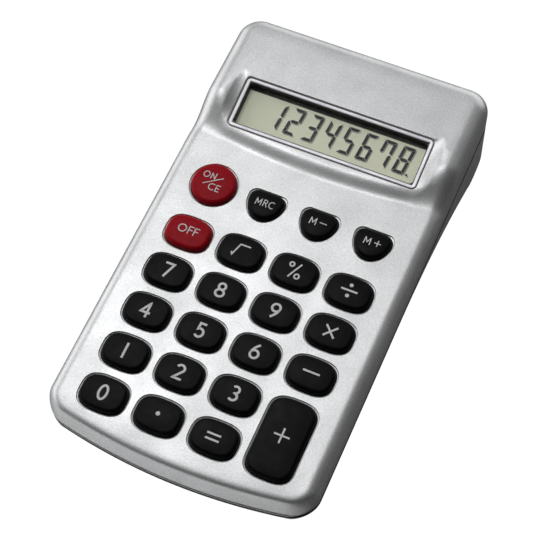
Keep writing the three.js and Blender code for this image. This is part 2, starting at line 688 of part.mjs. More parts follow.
function makeBattery() {
  const [axisY, axisZ] = CELL_CENTRE.toArray();
  const cellRight = CELL_LEFT + CELL_LENGTH;
  const nub = new THREE.Vector2(2.75, 1);
  const bodyLength = CELL_LENGTH - nub.y;
  const crimp = 0.4;
  const profile = [
    [0, 0],
    [CELL_RADIUS - crimp, 0],
    [CELL_RADIUS, crimp],
    [CELL_RADIUS, bodyLength - crimp],
    [CELL_RADIUS - crimp, bodyLength],
    [nub.x, bodyLength],
    [nub.x, CELL_LENGTH],
    [0, CELL_LENGTH],
  ].map(([r, along]) => new THREE.Vector2(r, along));
  const cell = new THREE.LatheGeometry(profile, 24).rotateZ(-Math.PI / 2);
  place("battery_cell", cell.translate(CELL_LEFT, axisY, axisZ), cellJacket);

  const plateAt = (left) => {
    const low = new THREE.Vector3(left, axisY - 4.5, axisZ - 4.5);
    return block(low, new THREE.Vector3(left + CONTACT_THICKNESS, axisY + 4.5, axisZ + 5.5));
  };
  const negativeLeft = CELL_PLATES[0][1] + GAP;
  place("positive_contact", plateAt(cellRight + GAP), steel);
  place("negative_contact", plateAt(negativeLeft), steel);

  const wireRadius = 0.35;
  const springLeft = negativeLeft + CONTACT_THICKNESS + GAP + wireRadius;
  const springLength = CELL_LEFT - GAP - wireRadius - springLeft;
  const coil = wire(new Helix(3, springLength, 3), wireRadius, 36);
  place("battery_spring", coil.translate(springLeft, axisY, axisZ), steel);

  // Each lead runs from above its contact forward onto the board.
  const leads = [
    ["battery_lead_positive", redWire, 1, 27.2],
    ["battery_lead_negative", blackWire, -1, 28.6],
  ];
  for (const [name, material, sign, start] of leads) {
    const points = [[start, 76, -5.3], [start - 0.6, 72, -4.2], [25, 67, -4.1], [21, 63, -4], [20, 61, -4.1]];
    const route = new THREE.CatmullRomCurve3(points.map(([x, y, z]) => new THREE.Vector3(sign * x, y, z)));
    place(name, wire(route, 0.5, 12, 8), material);
  }
}

// ---- Feet -----------------------------------------------------------------------------------------------
// Each foot is an upright rubber plug, flat on the table and cut to the case above it.
const FEET = [
  ["foot_front_left", -25, -28.5, 3.5],
  ["foot_front_right", 25, -28.5, 3.5],
  ["foot_rear_left", -30.4, 78.4, 2.9],
  ["foot_rear_right", 30.4, 78.4, 2.9],
];

function makeFeet() {
  const cased = geometryOf(lowerBlock.translate([0, 0, -GAP])).applyMatrix4(keypad.matrix);
  const casing = solid(cased);
  for (const [name, x, y, radius] of FEET) {
    const under = new THREE.Vector3(x, y, underside(y)).applyMatrix4(keypad.matrix);
    const plug = solid(post(under.x, under.y, 0, under.z + 0.5, radius, 20));
    place(name, plug.subtract(casing), rubber, calculator);
  }
}

// ---- Assembly -------------------------------------------------------------------------------------------
const frontBottom = new THREE.Vector3(0, FRONT_EDGE + 0.8, KEYPAD_BOTTOM);
keypad.rotation.x = LEAN;
keypad.position.set(0, 0, FOOT_CLEARANCE - frontBottom.y * Math.sin(LEAN) - frontBottom.z * Math.cos(LEAN));
keypad.updateMatrix();

makeUpperCase();
const seats = makeLowerCase();
makeDisplay();
makeKeys();
makeDomeMat();
makeBoard();
makeScrews(seats);
makeBattery();
makeFeet();

// The origin is on the table, under the middle of the case.
calculator.updateMatrixWorld(true);
const bounds = new THREE.Box3().setFromObject(calculator, true);
calculator.position.y = -(bounds.min.y + bounds.max.y) / 2;

export default calculator;
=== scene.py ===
"""The looks of a wedge-shaped desk calculator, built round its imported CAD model.

Everything on the case is drawn in the keypad's own frame, in millimetres: X to the right, Y from the front
edge towards the display, Z out of the keypad face, with the origin in the middle of the key grid. The
display has a frame of its own, sloping back inside its recess. Two matrices carry both into the row frame.
"""
import json
import math

import bpy
import numpy as np
from mathutils import Matrix, Vector
from mathutils.geometry import delaunay_2d_cdt


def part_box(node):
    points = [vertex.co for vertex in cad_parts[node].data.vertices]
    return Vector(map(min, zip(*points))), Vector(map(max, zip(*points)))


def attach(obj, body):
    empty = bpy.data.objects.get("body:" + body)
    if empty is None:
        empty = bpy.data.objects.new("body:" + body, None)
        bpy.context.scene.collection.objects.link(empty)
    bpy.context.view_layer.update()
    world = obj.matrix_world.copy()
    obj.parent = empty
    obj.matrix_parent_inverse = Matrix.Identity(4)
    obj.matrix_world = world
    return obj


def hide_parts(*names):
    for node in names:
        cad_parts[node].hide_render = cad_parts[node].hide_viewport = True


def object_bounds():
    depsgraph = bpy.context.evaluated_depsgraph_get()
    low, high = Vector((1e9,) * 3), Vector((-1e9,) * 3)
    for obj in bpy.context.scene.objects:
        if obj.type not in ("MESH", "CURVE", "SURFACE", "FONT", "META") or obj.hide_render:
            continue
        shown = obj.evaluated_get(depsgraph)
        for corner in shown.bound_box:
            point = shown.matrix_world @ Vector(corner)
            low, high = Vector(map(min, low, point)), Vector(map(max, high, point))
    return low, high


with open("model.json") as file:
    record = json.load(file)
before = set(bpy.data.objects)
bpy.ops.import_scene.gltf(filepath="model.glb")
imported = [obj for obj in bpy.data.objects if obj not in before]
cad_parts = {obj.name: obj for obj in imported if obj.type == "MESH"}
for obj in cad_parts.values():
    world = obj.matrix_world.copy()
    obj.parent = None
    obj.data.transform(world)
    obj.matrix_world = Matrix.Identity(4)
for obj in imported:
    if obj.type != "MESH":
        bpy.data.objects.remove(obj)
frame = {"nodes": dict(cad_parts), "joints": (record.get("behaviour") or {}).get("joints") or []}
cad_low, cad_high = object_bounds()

# ---- Sizes, in millimetres --------------------------------------------------------------------------------
HALF_WIDTH = 35.2
FRONT_EDGE = -35.6
BACK_EDGE = 90.3
CORNER_RADIUS = 6.3
FRONT_BOW = 4.1  # how far the ends of the front edge fall back behind its middle
BOW_END = 10.0
PARTING_Z = -6.0
WALL = 1.6
GAP = 0.3
GROOVE = (0.45, 0.45)  # depth and height of the shadow line cut into the lower shell's top edge
LOWER_TOP = PARTING_Z - GAP - GROOVE[1]
SEAM_LEDGE = 0.27  # how far the upper shell's skirt is rounded in over the seam

SIDE_FILLET = 3.2
HEAD_FILLET = 4.2
FRONT_SLOPE = 3.5
FRONT_LAND = 0.4
CREASE_SOFTNESS = 1.9
HEAD_RISE = 3.8
WAVE_FOOT = 50.0
WAVE_BOW = 3.4
WAVE_LENGTH = 9.0
SIDE_STRETCH = 0.35  # how much longer the wave is beside the display
SILL_RISE = 1.25
SILL_LENGTH = 4.5

BEZEL_FRONT = 56.4
BEZEL_SLOPE = math.radians(9)
BEZEL_SIZE = (52.0, 14.4)
WINDOW_SIZE = (49.9, 12.35)
BEZEL_BACK = BEZEL_FRONT + BEZEL_SIZE[1] * math.cos(BEZEL_SLOPE)
SCOOP_MIDDLE = 64.0
SCOOP_REACH = 9.6
SCOOP_WIDTH = 3.5

KEYPAD_BOTTOM = -8.0
RAMP_START = 22.0
BULGE_RADIUS = 10.5
BULGE_CENTRE_Y = BACK_EDGE - BULGE_RADIUS
BULGE_CENTRE_Z = -12.7
RAMP_ANGLE = math.radians(27.5)
RAMP_END = BULGE_CENTRE_Y - BULGE_RADIUS * math.sin(RAMP_ANGLE)
RAMP_CURVE = math.tan(RAMP_ANGLE) / (2 * (RAMP_END - RAMP_START))

COLUMN_PITCH = 14.5
ROW_PITCH = 11.84
KEY_SIZE = (11.6, 8.8)
SHIELD_SIZE = (9.4, 7.9)
TOP_ROW_Y = 38.0

DOOR_HALF_WIDTH = 26.6
DOOR_FRONT = 66.0
DOOR_TOP = -10.0
RIBS_MIDDLE = 70.6
FRONT_SCREWS = [(-31.0, -17.8, -6.6), (31.0, -17.8, -6.6)]  # X, Y and the height of the head's seat
REAR_SCREWS = [(-30.5, 46.0, -7.4), (30.5, 46.0, -7.4)]

# ---- Frames -----------------------------------------------------------------------------------------------
joint_axis = Vector(next(j["axis"] for j in frame["joints"] if j["name"] == "press_5"))
LEAN = math.atan2(-joint_axis.y, joint_axis.z)
BOARD_FRONT, BOARD_END, BOARD_TOP = -30.3, 63.5, -5.0
board_low, board_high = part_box("circuit_board")
SHIFT_Y = board_low.y * 1000 - (BOARD_FRONT * math.cos(LEAN) - BOARD_TOP * math.sin(LEAN))
SHIFT_Z = board_high.z * 1000 - (BOARD_END * math.sin(LEAN) + BOARD_TOP * math.cos(LEAN))
MM = Matrix.Scale(0.001, 4)
KEYPAD = MM @ Matrix.Translation((0, SHIFT_Y, SHIFT_Z)) @ Matrix.Rotation(LEAN, 4, "X")
DISPLAY = (
    KEYPAD
    @ Matrix.Translation((
        0,
        BEZEL_FRONT + BEZEL_SIZE[1] / 2 * math.cos(BEZEL_SLOPE),
        SILL_RISE + BEZEL_SIZE[1] / 2 * math.sin(BEZEL_SLOPE),
    ))
    @ Matrix.Rotation(BEZEL_SLOPE, 4, "X")
)


# ---- Materials --------------------------------------------------------------------------------------------
def linear(hex_colour):
    """An sRGB hex colour as linear RGBA."""
    parts = [int(hex_colour[i : i + 2], 16) / 255 for i in (1, 3, 5)]
    return tuple(c / 12.92 if c <= 0.04045 else ((c + 0.055) / 1.055) ** 2.4 for c in parts) + (1.0,)


def per_mm(size):
    """A texture's scale, in waves a metre, for features of one size in millimetres."""
    return 1000 / size


def add(tree, kind, inputs=(), **settings):
    """Adds one node. Inputs map a socket to a value or to another node's output."""
    node = tree.nodes.new(kind)
    for name, value in settings.items():
        setattr(node, name, value)
    for socket, value in dict(inputs).items():
        if isinstance(value, bpy.types.NodeSocket):
            tree.links.new(value, node.inputs[socket])
        else:
            node.inputs[socket].default_value = value
    return node


def blank(name):
    """An empty material: its tree, its shader and its Object coordinates."""
    made = bpy.data.materials.new(name)
    made.use_nodes = True
    tree = made.node_tree
    tree.nodes.clear()
    shader = add(tree, "ShaderNodeBsdfPrincipled")
    add(tree, "ShaderNodeOutputMaterial", {"Surface": shader.outputs["BSDF"]})
    place = add(tree, "ShaderNodeTexCoord").outputs["Object"]
    return made, tree, shader, place


def set_shader(tree, shader, **values):
    """Sets the shader's sockets: a number or colour is held there, an output is linked."""
    for name, value in values.items():
        socket = shader.inputs[name.replace("_", " ")]
        if isinstance(value, bpy.types.NodeSocket):
            tree.links.new(value, socket)
        else:
            socket.default_value = value


def between(tree, share, low, high):
    """The colour at a share of the way from one to the other."""
    ramp = add(tree, "ShaderNodeValToRGB", {"Fac": share})
    for stop, colour in zip(ramp.color_ramp.elements, (low, high)):
        stop.color = linear(colour)
    return ramp.outputs["Color"]


def mottled(tree, place, low, high, size, detail=2.0):
    """A colour that wanders between two, in patches of one size."""
    noise = add(tree, "ShaderNodeTexNoise", {"Vector": place, "Scale": per_mm(size), "Detail": detail})
    ramp = add(tree, "ShaderNodeValToRGB", {"Fac": noise.outputs["Fac"]})
    for stop, position, colour in zip(ramp.color_ramp.elements, (0.3, 0.7), (low, high)):
        stop.position, stop.color = position, linear(colour)
    return ramp.outputs["Color"]


def uneven(tree, place, low, high, size):
    """A number that wanders between two, in patches of one size."""
    noise = add(tree, "ShaderNodeTexNoise", {"Vector": place, "Scale": per_mm(size), "Detail": 3.0})
    spread = {"Value": noise.outputs["Fac"], "From Min": 0.3, "From Max": 0.7, "To Min": low, "To Max": high}
    return add(tree, "ShaderNodeMapRange", spread).outputs["Result"]


def grain(tree, place, size, depth, under=None):
    """Bumps of one size and depth in millimetres, over another layer of bumps if one is given."""
    noise = add(tree, "ShaderNodeTexNoise", {"Vector": place, "Scale": per_mm(size), "Detail": 2.0})
    bump = {"Height": noise.outputs["Fac"], "Distance": depth / 1000, "Strength": 1.0}
    if under:
        bump["Normal"] = under
    return add(tree, "ShaderNodeBump", bump).outputs["Normal"]


def silver_painted_abs():
    """Aluminium-flake lacquer sprayed on moulded ABS: a bright satin silver with a fine sandy sparkle.
    The flakes are a few hundredths of a millimetre; the grain is drawn at 0.35 mm so that it shows."""
    made, tree, shader, place = blank("silver_lacquer_on_abs")
    broad = mottled(tree, place, "#cfd0d1", "#dadbdc", 9.0)
    flakes = add(tree, "ShaderNodeTexNoise", {"Vector": place, "Scale": per_mm(0.35), "Detail": 3.0})
    sparkle = add(tree, "ShaderNodeMapRange", {
        "Value": flakes.outputs["Fac"], "From Min": 0.3, "From Max": 0.7, "To Min": 0.84, "To Max": 1.1})
    colour = add(tree, "ShaderNodeVectorMath", {0: broad}, operation="SCALE")
    tree.links.new(sparkle.outputs["Result"], colour.inputs["Scale"])
    set_shader(
        tree, shader,
        Base_Color=colour.outputs["Vector"],
        Metallic=0.62,
        Roughness=uneven(tree, place, 0.35, 0.42, 14.0),
        Normal=grain(tree, place, 0.5, 0.022),
    )
    return made


def bright_bezel_plastic():
    """Vacuum-metallised ABS under a clear coat: a paler, smoother silver than the case."""
    made, tree, shader, place = blank("metallised_abs")
    set_shader(
        tree, shader,
        Base_Color=mottled(tree, place, "#c9c8ce", "#d2d1d6", 4.0),
        Metallic=0.6,
        Roughness=uneven(tree, place, 0.36, 0.44, 5.0),
        Normal=grain(tree, place, 0.6, 0.004),
    )
    return made


def moulded_key(name, low, high, roughness):
    """Through-coloured ABS from a fine-sparked mould: soft sheen with a faint orange-peel skin."""
    made, tree, shader, place = blank(name)
    set_shader(
        tree, shader,
        Base_Color=mottled(tree, place, low, high, 1.6),
        Roughness=uneven(tree, place, roughness - 0.04, roughness + 0.05, 2.5),
        Specular_IOR_Level=0.06,
        Normal=grain(tree, place, 0.5, 0.006),
    )
    return made


def key_ink():
    """Pad-printed epoxy ink: matt pale grey, a little thin in places so that the key tints it."""
    made, tree, shader, place = blank("pad_printed_ink")
    set_shader(
        tree, shader,
        Base_Color=mottled(tree, place, "#d6d6d6", "#e4e4e4", 0.5),
        Roughness=0.6,
        Normal=grain(tree, place, 0.2, 0.003),
    )
    return made


def clear_acrylic():
    """Polished cast acrylic: clear, with only its gloss to see."""
    made, tree, shader, place = blank("clear_acrylic")
    set_shader(
        tree, shader,
        Base_Color=linear("#202422"),
        Roughness=uneven(tree, place, 0.04, 0.08, 12.0),
        Alpha=0.07,
        Specular_IOR_Level=0.25,
        IOR=1.49,
    )
    return made


def liquid_crystal_glass():
    """Reflective liquid crystal cell under a satin polariser: a flat grey-green with a faint fibre in it, and
    a painted glow that brightens it as if lit.
    """
    made, tree, shader, place = blank("lcd_polariser_painted_glow")
    set_shader(
        tree, shader,
        Base_Color=mottled(tree, place, "#eff2d8", "#f5f8de", 3.0),
        Roughness=0.42,
        Specular_IOR_Level=0.35,
        # Painted light: the cell glows faintly, though it is no lamp.
        Emission_Color=linear("#d9dcc2"),
        Emission_Strength=0.24,
        Normal=grain(tree, place, 0.25, 0.003),
    )
    return made


def plain(name, low, high, patch, roughness, bump_size, bump_depth, metallic=0.0):
    """A finish with a wandering colour, an uneven sheen and a fine surface."""
    made, tree, shader, place = blank(name)
    set_shader(
        tree, shader,
        Base_Color=mottled(tree, place, low, high, patch),
        Metallic=metallic,
        Roughness=uneven(tree, place, roughness - 0.05, roughness + 0.05, patch * 2),
        Normal=grain(tree, place, bump_size, bump_depth),
    )
    return made


def layered_rubber():
    """Conductive rubber connector: thin black and pale layers, side by side along its length."""
    made, tree, shader, place = blank("zebra_rubber")
    layers = {"Vector": place, "Scale": per_mm(0.5) / 20, "Distortion": 0.2}
    stripes = add(tree, "ShaderNodeTexWave", layers, wave_type="BANDS", bands_direction="X")
    colour = between(tree, stripes.outputs["Fac"], "#1c1c1d", "#8f9094")
    set_shader(tree, shader, Base_Color=colour, Roughness=0.7, Normal=grain(tree, place, 0.3, 0.01))
    return made


def brushed(name, low, high, roughness, size):
    """Plated steel with fine drawing lines along the row's X."""
    made, tree, shader, place = blank(name)
    stretched = add(tree, "ShaderNodeMapping", {"Vector": place, "Scale": (0.06, 1.0, 1.0)}).outputs["Vector"]
    set_shader(
        tree, shader,
        Base_Color=mottled(tree, stretched, low, high, size),
        Metallic=1.0,
        Roughness=uneven(tree, stretched, roughness - 0.06, roughness + 0.08, size),
        Normal=grain(tree, stretched, size, 0.006),
    )
    return made


SILVER = silver_painted_abs()
BEZEL_SILVER = bright_bezel_plastic()
BLACK_KEY = moulded_key("black_moulded_abs", "#0b0b0c", "#121213", 0.36)
RED_KEY = moulded_key("red_moulded_abs", "#9a0c19", "#a61222", 0.36)
INK = key_ink()
ACRYLIC = clear_acrylic()
LCD = liquid_crystal_glass()
# Dyed crystal segments that have turned dark under the polariser, and a painted shade for the soft shadow
# that they cast below.
SEGMENT = plain("dark_crystal_segment", "#26262c", "#2f2f36", 1.0, 0.5, 0.3, 0.002)
SEGMENT_SHADE = plain("segment_shade", "#b9bba6", "#c0c2ae", 2.0, 0.5, 0.3, 0.002)
# Painted shadow of the bezel's top bar on the crystal: a flat charcoal strip.
PAINTED_BEZEL_SHADOW = plain("painted_bezel_shadow", "#50514b", "#5a5b54", 2.0, 0.6, 0.4, 0.003)
# Painted shade for the seam between the shells, where the deep gap would go dark: charcoal and dull.
SEAM_SHADE_CHARCOAL = plain("painted_seam_shade", "#101011", "#191919", 1.5, 0.7, 0.4, 0.01)
# Black-printed film round the crystal: a matt, almost lightless black.
MASK = plain("black_mask_film", "#1c1c1e", "#232325", 2.0, 0.55, 0.4, 0.004)
# Nitrile rubber feet: matt, nearly black, dusty in patches.
FOOT_RUBBER = plain("nitrile_rubber", "#242425", "#343435", 1.2, 0.82, 0.35, 0.03)
# Zinc-plated steel screws and springs: cool, streaky grey metal.
ZINC = brushed("zinc_plated_steel", "#a9adb2", "#c2c5c9", 0.32, 0.4)
# Nickel-plated spring steel contacts: warmer and brighter than the screws.
NICKEL = brushed("nickel_plated_steel", "#b9b6ae", "#cfccc4", 0.26, 0.5)
# Moulded silicone sheet: milky grey with a soft, slightly greasy surface.
SILICONE = plain("moulded_silicone", "#b3b1a8", "#c0beb5", 5.0, 0.62, 0.5, 0.01)
# Green solder mask over glass cloth, whose weave of about 0.6 mm shows through as a faint texture.
SOLDER_MASK = plain("solder_mask_on_fr4", "#1f5a35", "#2c6e43", 0.6, 0.38, 0.6, 0.015)
# Moulded epoxy over a chip, and the shrink sleeve of a capacitor: matt black with a fine grit.
EPOXY = plain("black_epoxy", "#161617", "#202021", 0.8, 0.55, 0.3, 0.02)
# Glass-filled nylon of the display's retainer: dull black with a dry surface.
NYLON = plain("glass_filled_nylon", "#1b1b1c", "#262627", 1.5, 0.6, 0.4, 0.015)
# Printed shrink film round the cell: glossy, with a faint mottle in its slate blue.
CELL_FILM = plain("cell_shrink_film", "#2b4059", "#35506c", 6.0, 0.28, 2.0, 0.01)
# Soft vinyl insulation on the two battery leads.
RED_VINYL = plain("red_vinyl", "#a51c1c", "#b92a26", 1.0, 0.45, 0.4, 0.01)
BLACK_VINYL = plain("black_vinyl", "#161616", "#222222", 1.0, 0.45, 0.4, 0.01)
ZEBRA = layered_rubber()

for nodes, finish in (
    (("lcd_panel",), LCD),
    (("lcd_retainer",), NYLON),
    (("dome_mat",), SILICONE),
    (("circuit_board",), SOLDER_MASK),
    (("processor_chip", "capacitor"), EPOXY),
    (("display_connector",), ZEBRA),
    (("board_screw_1", "board_screw_2"), ZINC),
    (("battery_spring", "positive_contact", "negative_contact"), NICKEL),
    (("battery_cell",), CELL_FILM),
    (("battery_lead_positive",), RED_VINYL),
    (("battery_lead_negative",), BLACK_VINYL),
):
    for node in nodes:
        frame["nodes"][node].data.materials.clear()
        frame["nodes"][node].data.materials.append(finish)


# ---- Mesh helpers -----------------------------------------------------------------------------------------
def new_object(name, mesh, finish, sharp=35):
    """A finished mesh as an object at the origin, smooth except over edges sharper than an angle."""
    mesh.name = name
    mesh.materials.clear()
    mesh.materials.append(finish)
    mesh.polygons.foreach_set("use_smooth", [True] * len(mesh.polygons))
    mesh.set_sharp_from_angle(angle=math.radians(sharp))
    made = bpy.data.objects.new(name, mesh)
    bpy.context.scene.collection.objects.link(made)
    return made


def new_mesh(points, faces, matrix):
    """A mesh from points in one of the two drawing frames, carried into the row frame."""
    mesh = bpy.data.meshes.new("mesh")
    mesh.from_pydata([matrix @ Vector(p) for p in points], [], faces)
    mesh.update()
    return mesh


def give(piece, body, slot, *nodes):
    """Hands a piece to its body and hides the CAD nodes that it stands for. The slot is not used."""
    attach(piece, body)
    if nodes:
        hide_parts(*nodes)
    return piece


def bridge(faces, lower, upper):
    """Quads between two loops of point numbers that have the same length."""
    count = len(lower)
    for i in range(count):
        j = (i + 1) % count
        faces.append((lower[i], lower[j], upper[j], upper[i]))


class Skin:
    """A growing list of points and faces. Loops run counter-clockwise seen from outside."""

    def __init__(self):
        self.points = []
        self.faces = []

    def loop(self, points):
        start = len(self.points)
        self.points.extend(tuple(float(c) for c in p) for p in points)
        return list(range(start, len(self.points)))

    def chain(self, loops, start=(), flip=False, closed=False):
        """Bands through a row of loops, from a loop that is already there if one is given."""
        numbers = [*start, *(self.loop(p) for p in loops)]
        for lower, upper in zip(numbers, numbers[1:] + numbers[:1] if closed else numbers[1:]):
            bridge(self.faces, *((upper, lower) if flip else (lower, upper)))
        return numbers[0], numbers[-1]

    def lump(self, loops):
        """A closed lump from loops that go up its outside."""
        first, last = self.chain(loops)
        self.cap(first, flip=True)
        self.cap(last)

    def cap(self, numbers, flip=False):
        """Closes a loop with a fan round its middle."""
        ring_points = np.array([self.points[n] for n in numbers])
        hub = self.loop([ring_points.mean(axis=0)])[0]
        for i, a in enumerate(numbers):
            b = numbers[(i + 1) % len(numbers)]
            self.faces.append((b, a, hub) if flip else (a, b, hub))

    def fill(self, outer, holes, inside, flip=False):
        """Triangles between an outer loop and the loops of its holes, through the points inside."""
        extra = self.loop(inside)
        numbers = [*outer, *(n for hole in holes for n in hole), *extra]
        edges, start = [], 0
        for loop in (outer, *holes):
            count = len(loop)
            edges += [(start + i, start + (i + 1) % count) for i in range(count)]
            start += count
        flat = [Vector(self.points[n][:2]) for n in numbers]
        _, _, triangles, sources, _, _ = delaunay_2d_cdt(flat, edges, [], 1, 1e-6)
        owner = {n: i for i, hole in enumerate(holes) for n in hole}
        for triangle in triangles:
            face = [numbers[sources[corner][0]] for corner in triangle]
            owners = {owner.get(n, -1) for n in face}
            if len(owners) == 1 and owners != {-1}:
                continue
            self.faces.append(tuple(reversed(face)) if flip else tuple(face))


def boolean(base, tool, operation):
    """Joins, cuts or intersects two closed meshes and returns the result."""
    objects = [bpy.data.objects.new("shape", mesh) for mesh in (base, tool)]
    for made in objects:
        bpy.context.scene.collection.objects.link(made)
    modifier = objects[0].modifiers.new("join", "BOOLEAN")
    modifier.object, modifier.operation, modifier.solver = objects[1], operation, "MANIFOLD"
    depsgraph = bpy.context.evaluated_depsgraph_get()
    result = bpy.data.meshes.new_from_object(objects[0].evaluated_get(depsgraph))
    for made in objects:
        bpy.data.objects.remove(made)
    return result


def box_mesh(low, high, matrix):
    """A box between two corners of a drawing frame, as a cutting tool."""
    corners = [(x, y, z) for x in (low[0], high[0]) for y in (low[1], high[1]) for z in (low[2], high[2])]
    faces = [(0, 1, 3, 2), (4, 6, 7, 5), (0, 4, 5, 1), (2, 3, 7, 6), (0, 2, 6, 4), (1, 5, 7, 3)]
    return new_mesh(corners, faces, matrix)


def turned(profile, sides, matrix=None):
    """A closed turned shape about Z, from (radius, height) pairs that go up its outside."""
    skin = Skin()
    angles = np.linspace(0, 2 * math.pi, sides, endpoint=False)
    skin.lump([[(r * math.cos(a), r * math.sin(a), z) for a in angles] for r, z in profile])
    return new_mesh(skin.points, skin.faces, matrix or Matrix.Identity(4))


# ---- Geometry Nodes: pieces set out on points -------------------------------------------------------------
def finish_off(tree, copies, finish, output):
    """Ends a tree: its copies become real geometry in one finish."""
    real = add(tree, "GeometryNodeRealizeInstances", {"Geometry": copies.outputs["Instances"]})
    painted = {"Geometry": real.outputs["Geometry"], "Material": finish}
    add(tree, "NodeGroupOutput", {output: add(tree, "GeometryNodeSetMaterial", painted).outputs["Geometry"]})


def setting_out_tree():
    """A tree that puts a copy of one piece on every point of the object it is on, grown by Size."""
    tree = bpy.data.node_groups.new("setting_out", "GeometryNodeTree")
    face = tree.interface
    face.new_socket("Points", in_out="INPUT", socket_type="NodeSocketGeometry")
    face.new_socket("Piece", in_out="INPUT", socket_type="NodeSocketObject")
    face.new_socket("Size", in_out="INPUT", socket_type="NodeSocketFloat").default_value = 1.0
    face.new_socket("Finish", in_out="INPUT", socket_type="NodeSocketMaterial")
    face.new_socket("Pieces", in_out="OUTPUT", socket_type="NodeSocketGeometry")
    given = add(tree, "NodeGroupInput").outputs
    info = add(tree, "GeometryNodeObjectInfo", {"Object": given["Piece"]})
    copies = add(tree, "GeometryNodeInstanceOnPoints", {
        "Points": given["Points"], "Instance": info.outputs["Geometry"], "Scale": given["Size"]})
    finish_off(tree, copies, given["Finish"], "Pieces")
    return tree


def rib_row_tree():
    """A tree that makes a row of round-topped ribs: each is a swept bar, Spacing apart along Y."""
    tree = bpy.data.node_groups.new("rib_row", "GeometryNodeTree")
    face = tree.interface
    face.new_socket("Count", in_out="INPUT", socket_type="NodeSocketInt").default_value = 8
    for name in ("Spacing", "Length", "Radius"):
        face.new_socket(name, in_out="INPUT", socket_type="NodeSocketFloat")
    face.new_socket("Finish", in_out="INPUT", socket_type="NodeSocketMaterial")
    face.new_socket("Ribs", in_out="OUTPUT", socket_type="NodeSocketGeometry")
    given = add(tree, "NodeGroupInput").outputs
    half = add(tree, "ShaderNodeMath", {0: given["Length"], 1: 0.5}, operation="MULTIPLY").outputs[0]
    minus = add(tree, "ShaderNodeMath", {0: given["Length"], 1: -0.5}, operation="MULTIPLY").outputs[0]
    ends = [add(tree, "ShaderNodeCombineXYZ", {"X": x}).outputs[0] for x in (minus, half)]
    line = add(tree, "GeometryNodeCurvePrimitiveLine", {"Start": ends[0], "End": ends[1]})
    many = add(tree, "GeometryNodeResampleCurve", {"Curve": line.outputs["Curve"], "Count": 24})
    share = add(tree, "GeometryNodeSplineParameter").outputs["Factor"]
    taper = add(tree, "ShaderNodeFloatCurve", {"Value": share})
    curve = taper.mapping.curves[0]
    curve.points[0].location, curve.points[1].location = (0, 0.25), (1, 0.25)
    for x in (0.04, 0.96):
        curve.points.new(x, 1.0)
    taper.mapping.update()
    width = add(tree, "ShaderNodeMath", {0: taper.outputs[0], 1: given["Radius"]}, operation="MULTIPLY")
    sized = add(tree, "GeometryNodeSetCurveRadius", {
        "Curve": many.outputs["Curve"], "Radius": width.outputs[0]})
    circle = add(tree, "GeometryNodeCurvePrimitiveCircle", {"Resolution": 12, "Radius": 1.0})
    bar = add(tree, "GeometryNodeCurveToMesh", {
        "Curve": sized.outputs["Curve"], "Profile Curve": circle.outputs["Curve"], "Fill Caps": True})
    if "Scale" in bar.inputs:
        tree.links.new(width.outputs[0], bar.inputs["Scale"])
    step = add(tree, "ShaderNodeCombineXYZ", {"Y": given["Spacing"]}).outputs[0]
    points = add(tree, "GeometryNodeMeshLine", {"Count": given["Count"], "Offset": step})
    copies = add(tree, "GeometryNodeInstanceOnPoints", {
        "Points": points.outputs["Mesh"], "Instance": bar.outputs["Mesh"]})
    finish_off(tree, copies, given["Finish"], "Ribs")
    return tree


def grown(tree, values, points=()):
    """Runs a tree on an object of loose points with its named inputs set, and returns the mesh."""
    mesh = bpy.data.meshes.new("points")
    mesh.from_pydata([Vector(p) for p in points], [], [])
    base = bpy.data.objects.new("points", mesh)
    modifier = base.modifiers.new("tree", "NODES")
    modifier.node_group = tree
    for item in tree.interface.items_tree:
        if item.in_out == "INPUT" and item.name in values:
            modifier[item.identifier] = values[item.name]
    bpy.context.scene.collection.objects.link(base)
    depsgraph = bpy.context.evaluated_depsgraph_get()
    result = bpy.data.meshes.new_from_object(base.evaluated_get(depsgraph))
    base.modifiers.remove(modifier)
    bpy.data.objects.remove(base)
    return result


def set_out(tree, name, piece_mesh, points, finish, size=1.0):
    """Copies of one small piece on a few points, as one object."""
    piece = bpy.data.objects.new("piece", piece_mesh)
    mesh = grown(tree, {"Piece": piece, "Size": size, "Finish": finish}, points)
    bpy.data.objects.remove(piece)
    return new_object(name, mesh, finish)


# ---- The case's form --------------------------------------------------------------------------------------
def ease(value):
    value = np.clip(value, 0, 1)
    return value * value * (3 - 2 * value)


def bow(x, station):
    share = np.clip((BOW_END - station) / (BOW_END - FRONT_EDGE), 0, 1)
    return FRONT_BOW * (x / HALF_WIDTH) ** 2 * share


def edge_at(x, station):
    """Distance in from the rounded outline, and how much of the nearest edge faces the front."""
    middle = (FRONT_EDGE + BACK_EDGE) / 2
    across = np.abs(x) - (HALF_WIDTH - CORNER_RADIUS)
    along = np.abs(station - middle) - ((BACK_EDGE - FRONT_EDGE) / 2 - CORNER_RADIUS)
    corner = (across > 0) & (along > 0)
    reach = np.where(corner, np.hypot(across, along), np.maximum(across, along))
    facing = np.where(corner, along / np.maximum(reach, 1e-6), (along > across).astype(float))
    return CORNER_RADIUS - reach, np.where(station < middle, facing**2, 0.0)


def fillet(radius, inward):
    short = radius - np.clip(inward, 0, radius)
    return radius - np.sqrt(radius**2 - short**2)


def scoop_half_width(y):
    """Half the width of the display recess, with the two scoops beside the bezel."""
    swell = np.sqrt(np.maximum(0, 1 - ((y - SCOOP_MIDDLE) / SCOOP_REACH) ** 2))
    return BEZEL_SIZE[0] / 2 + SCOOP_WIDTH * swell


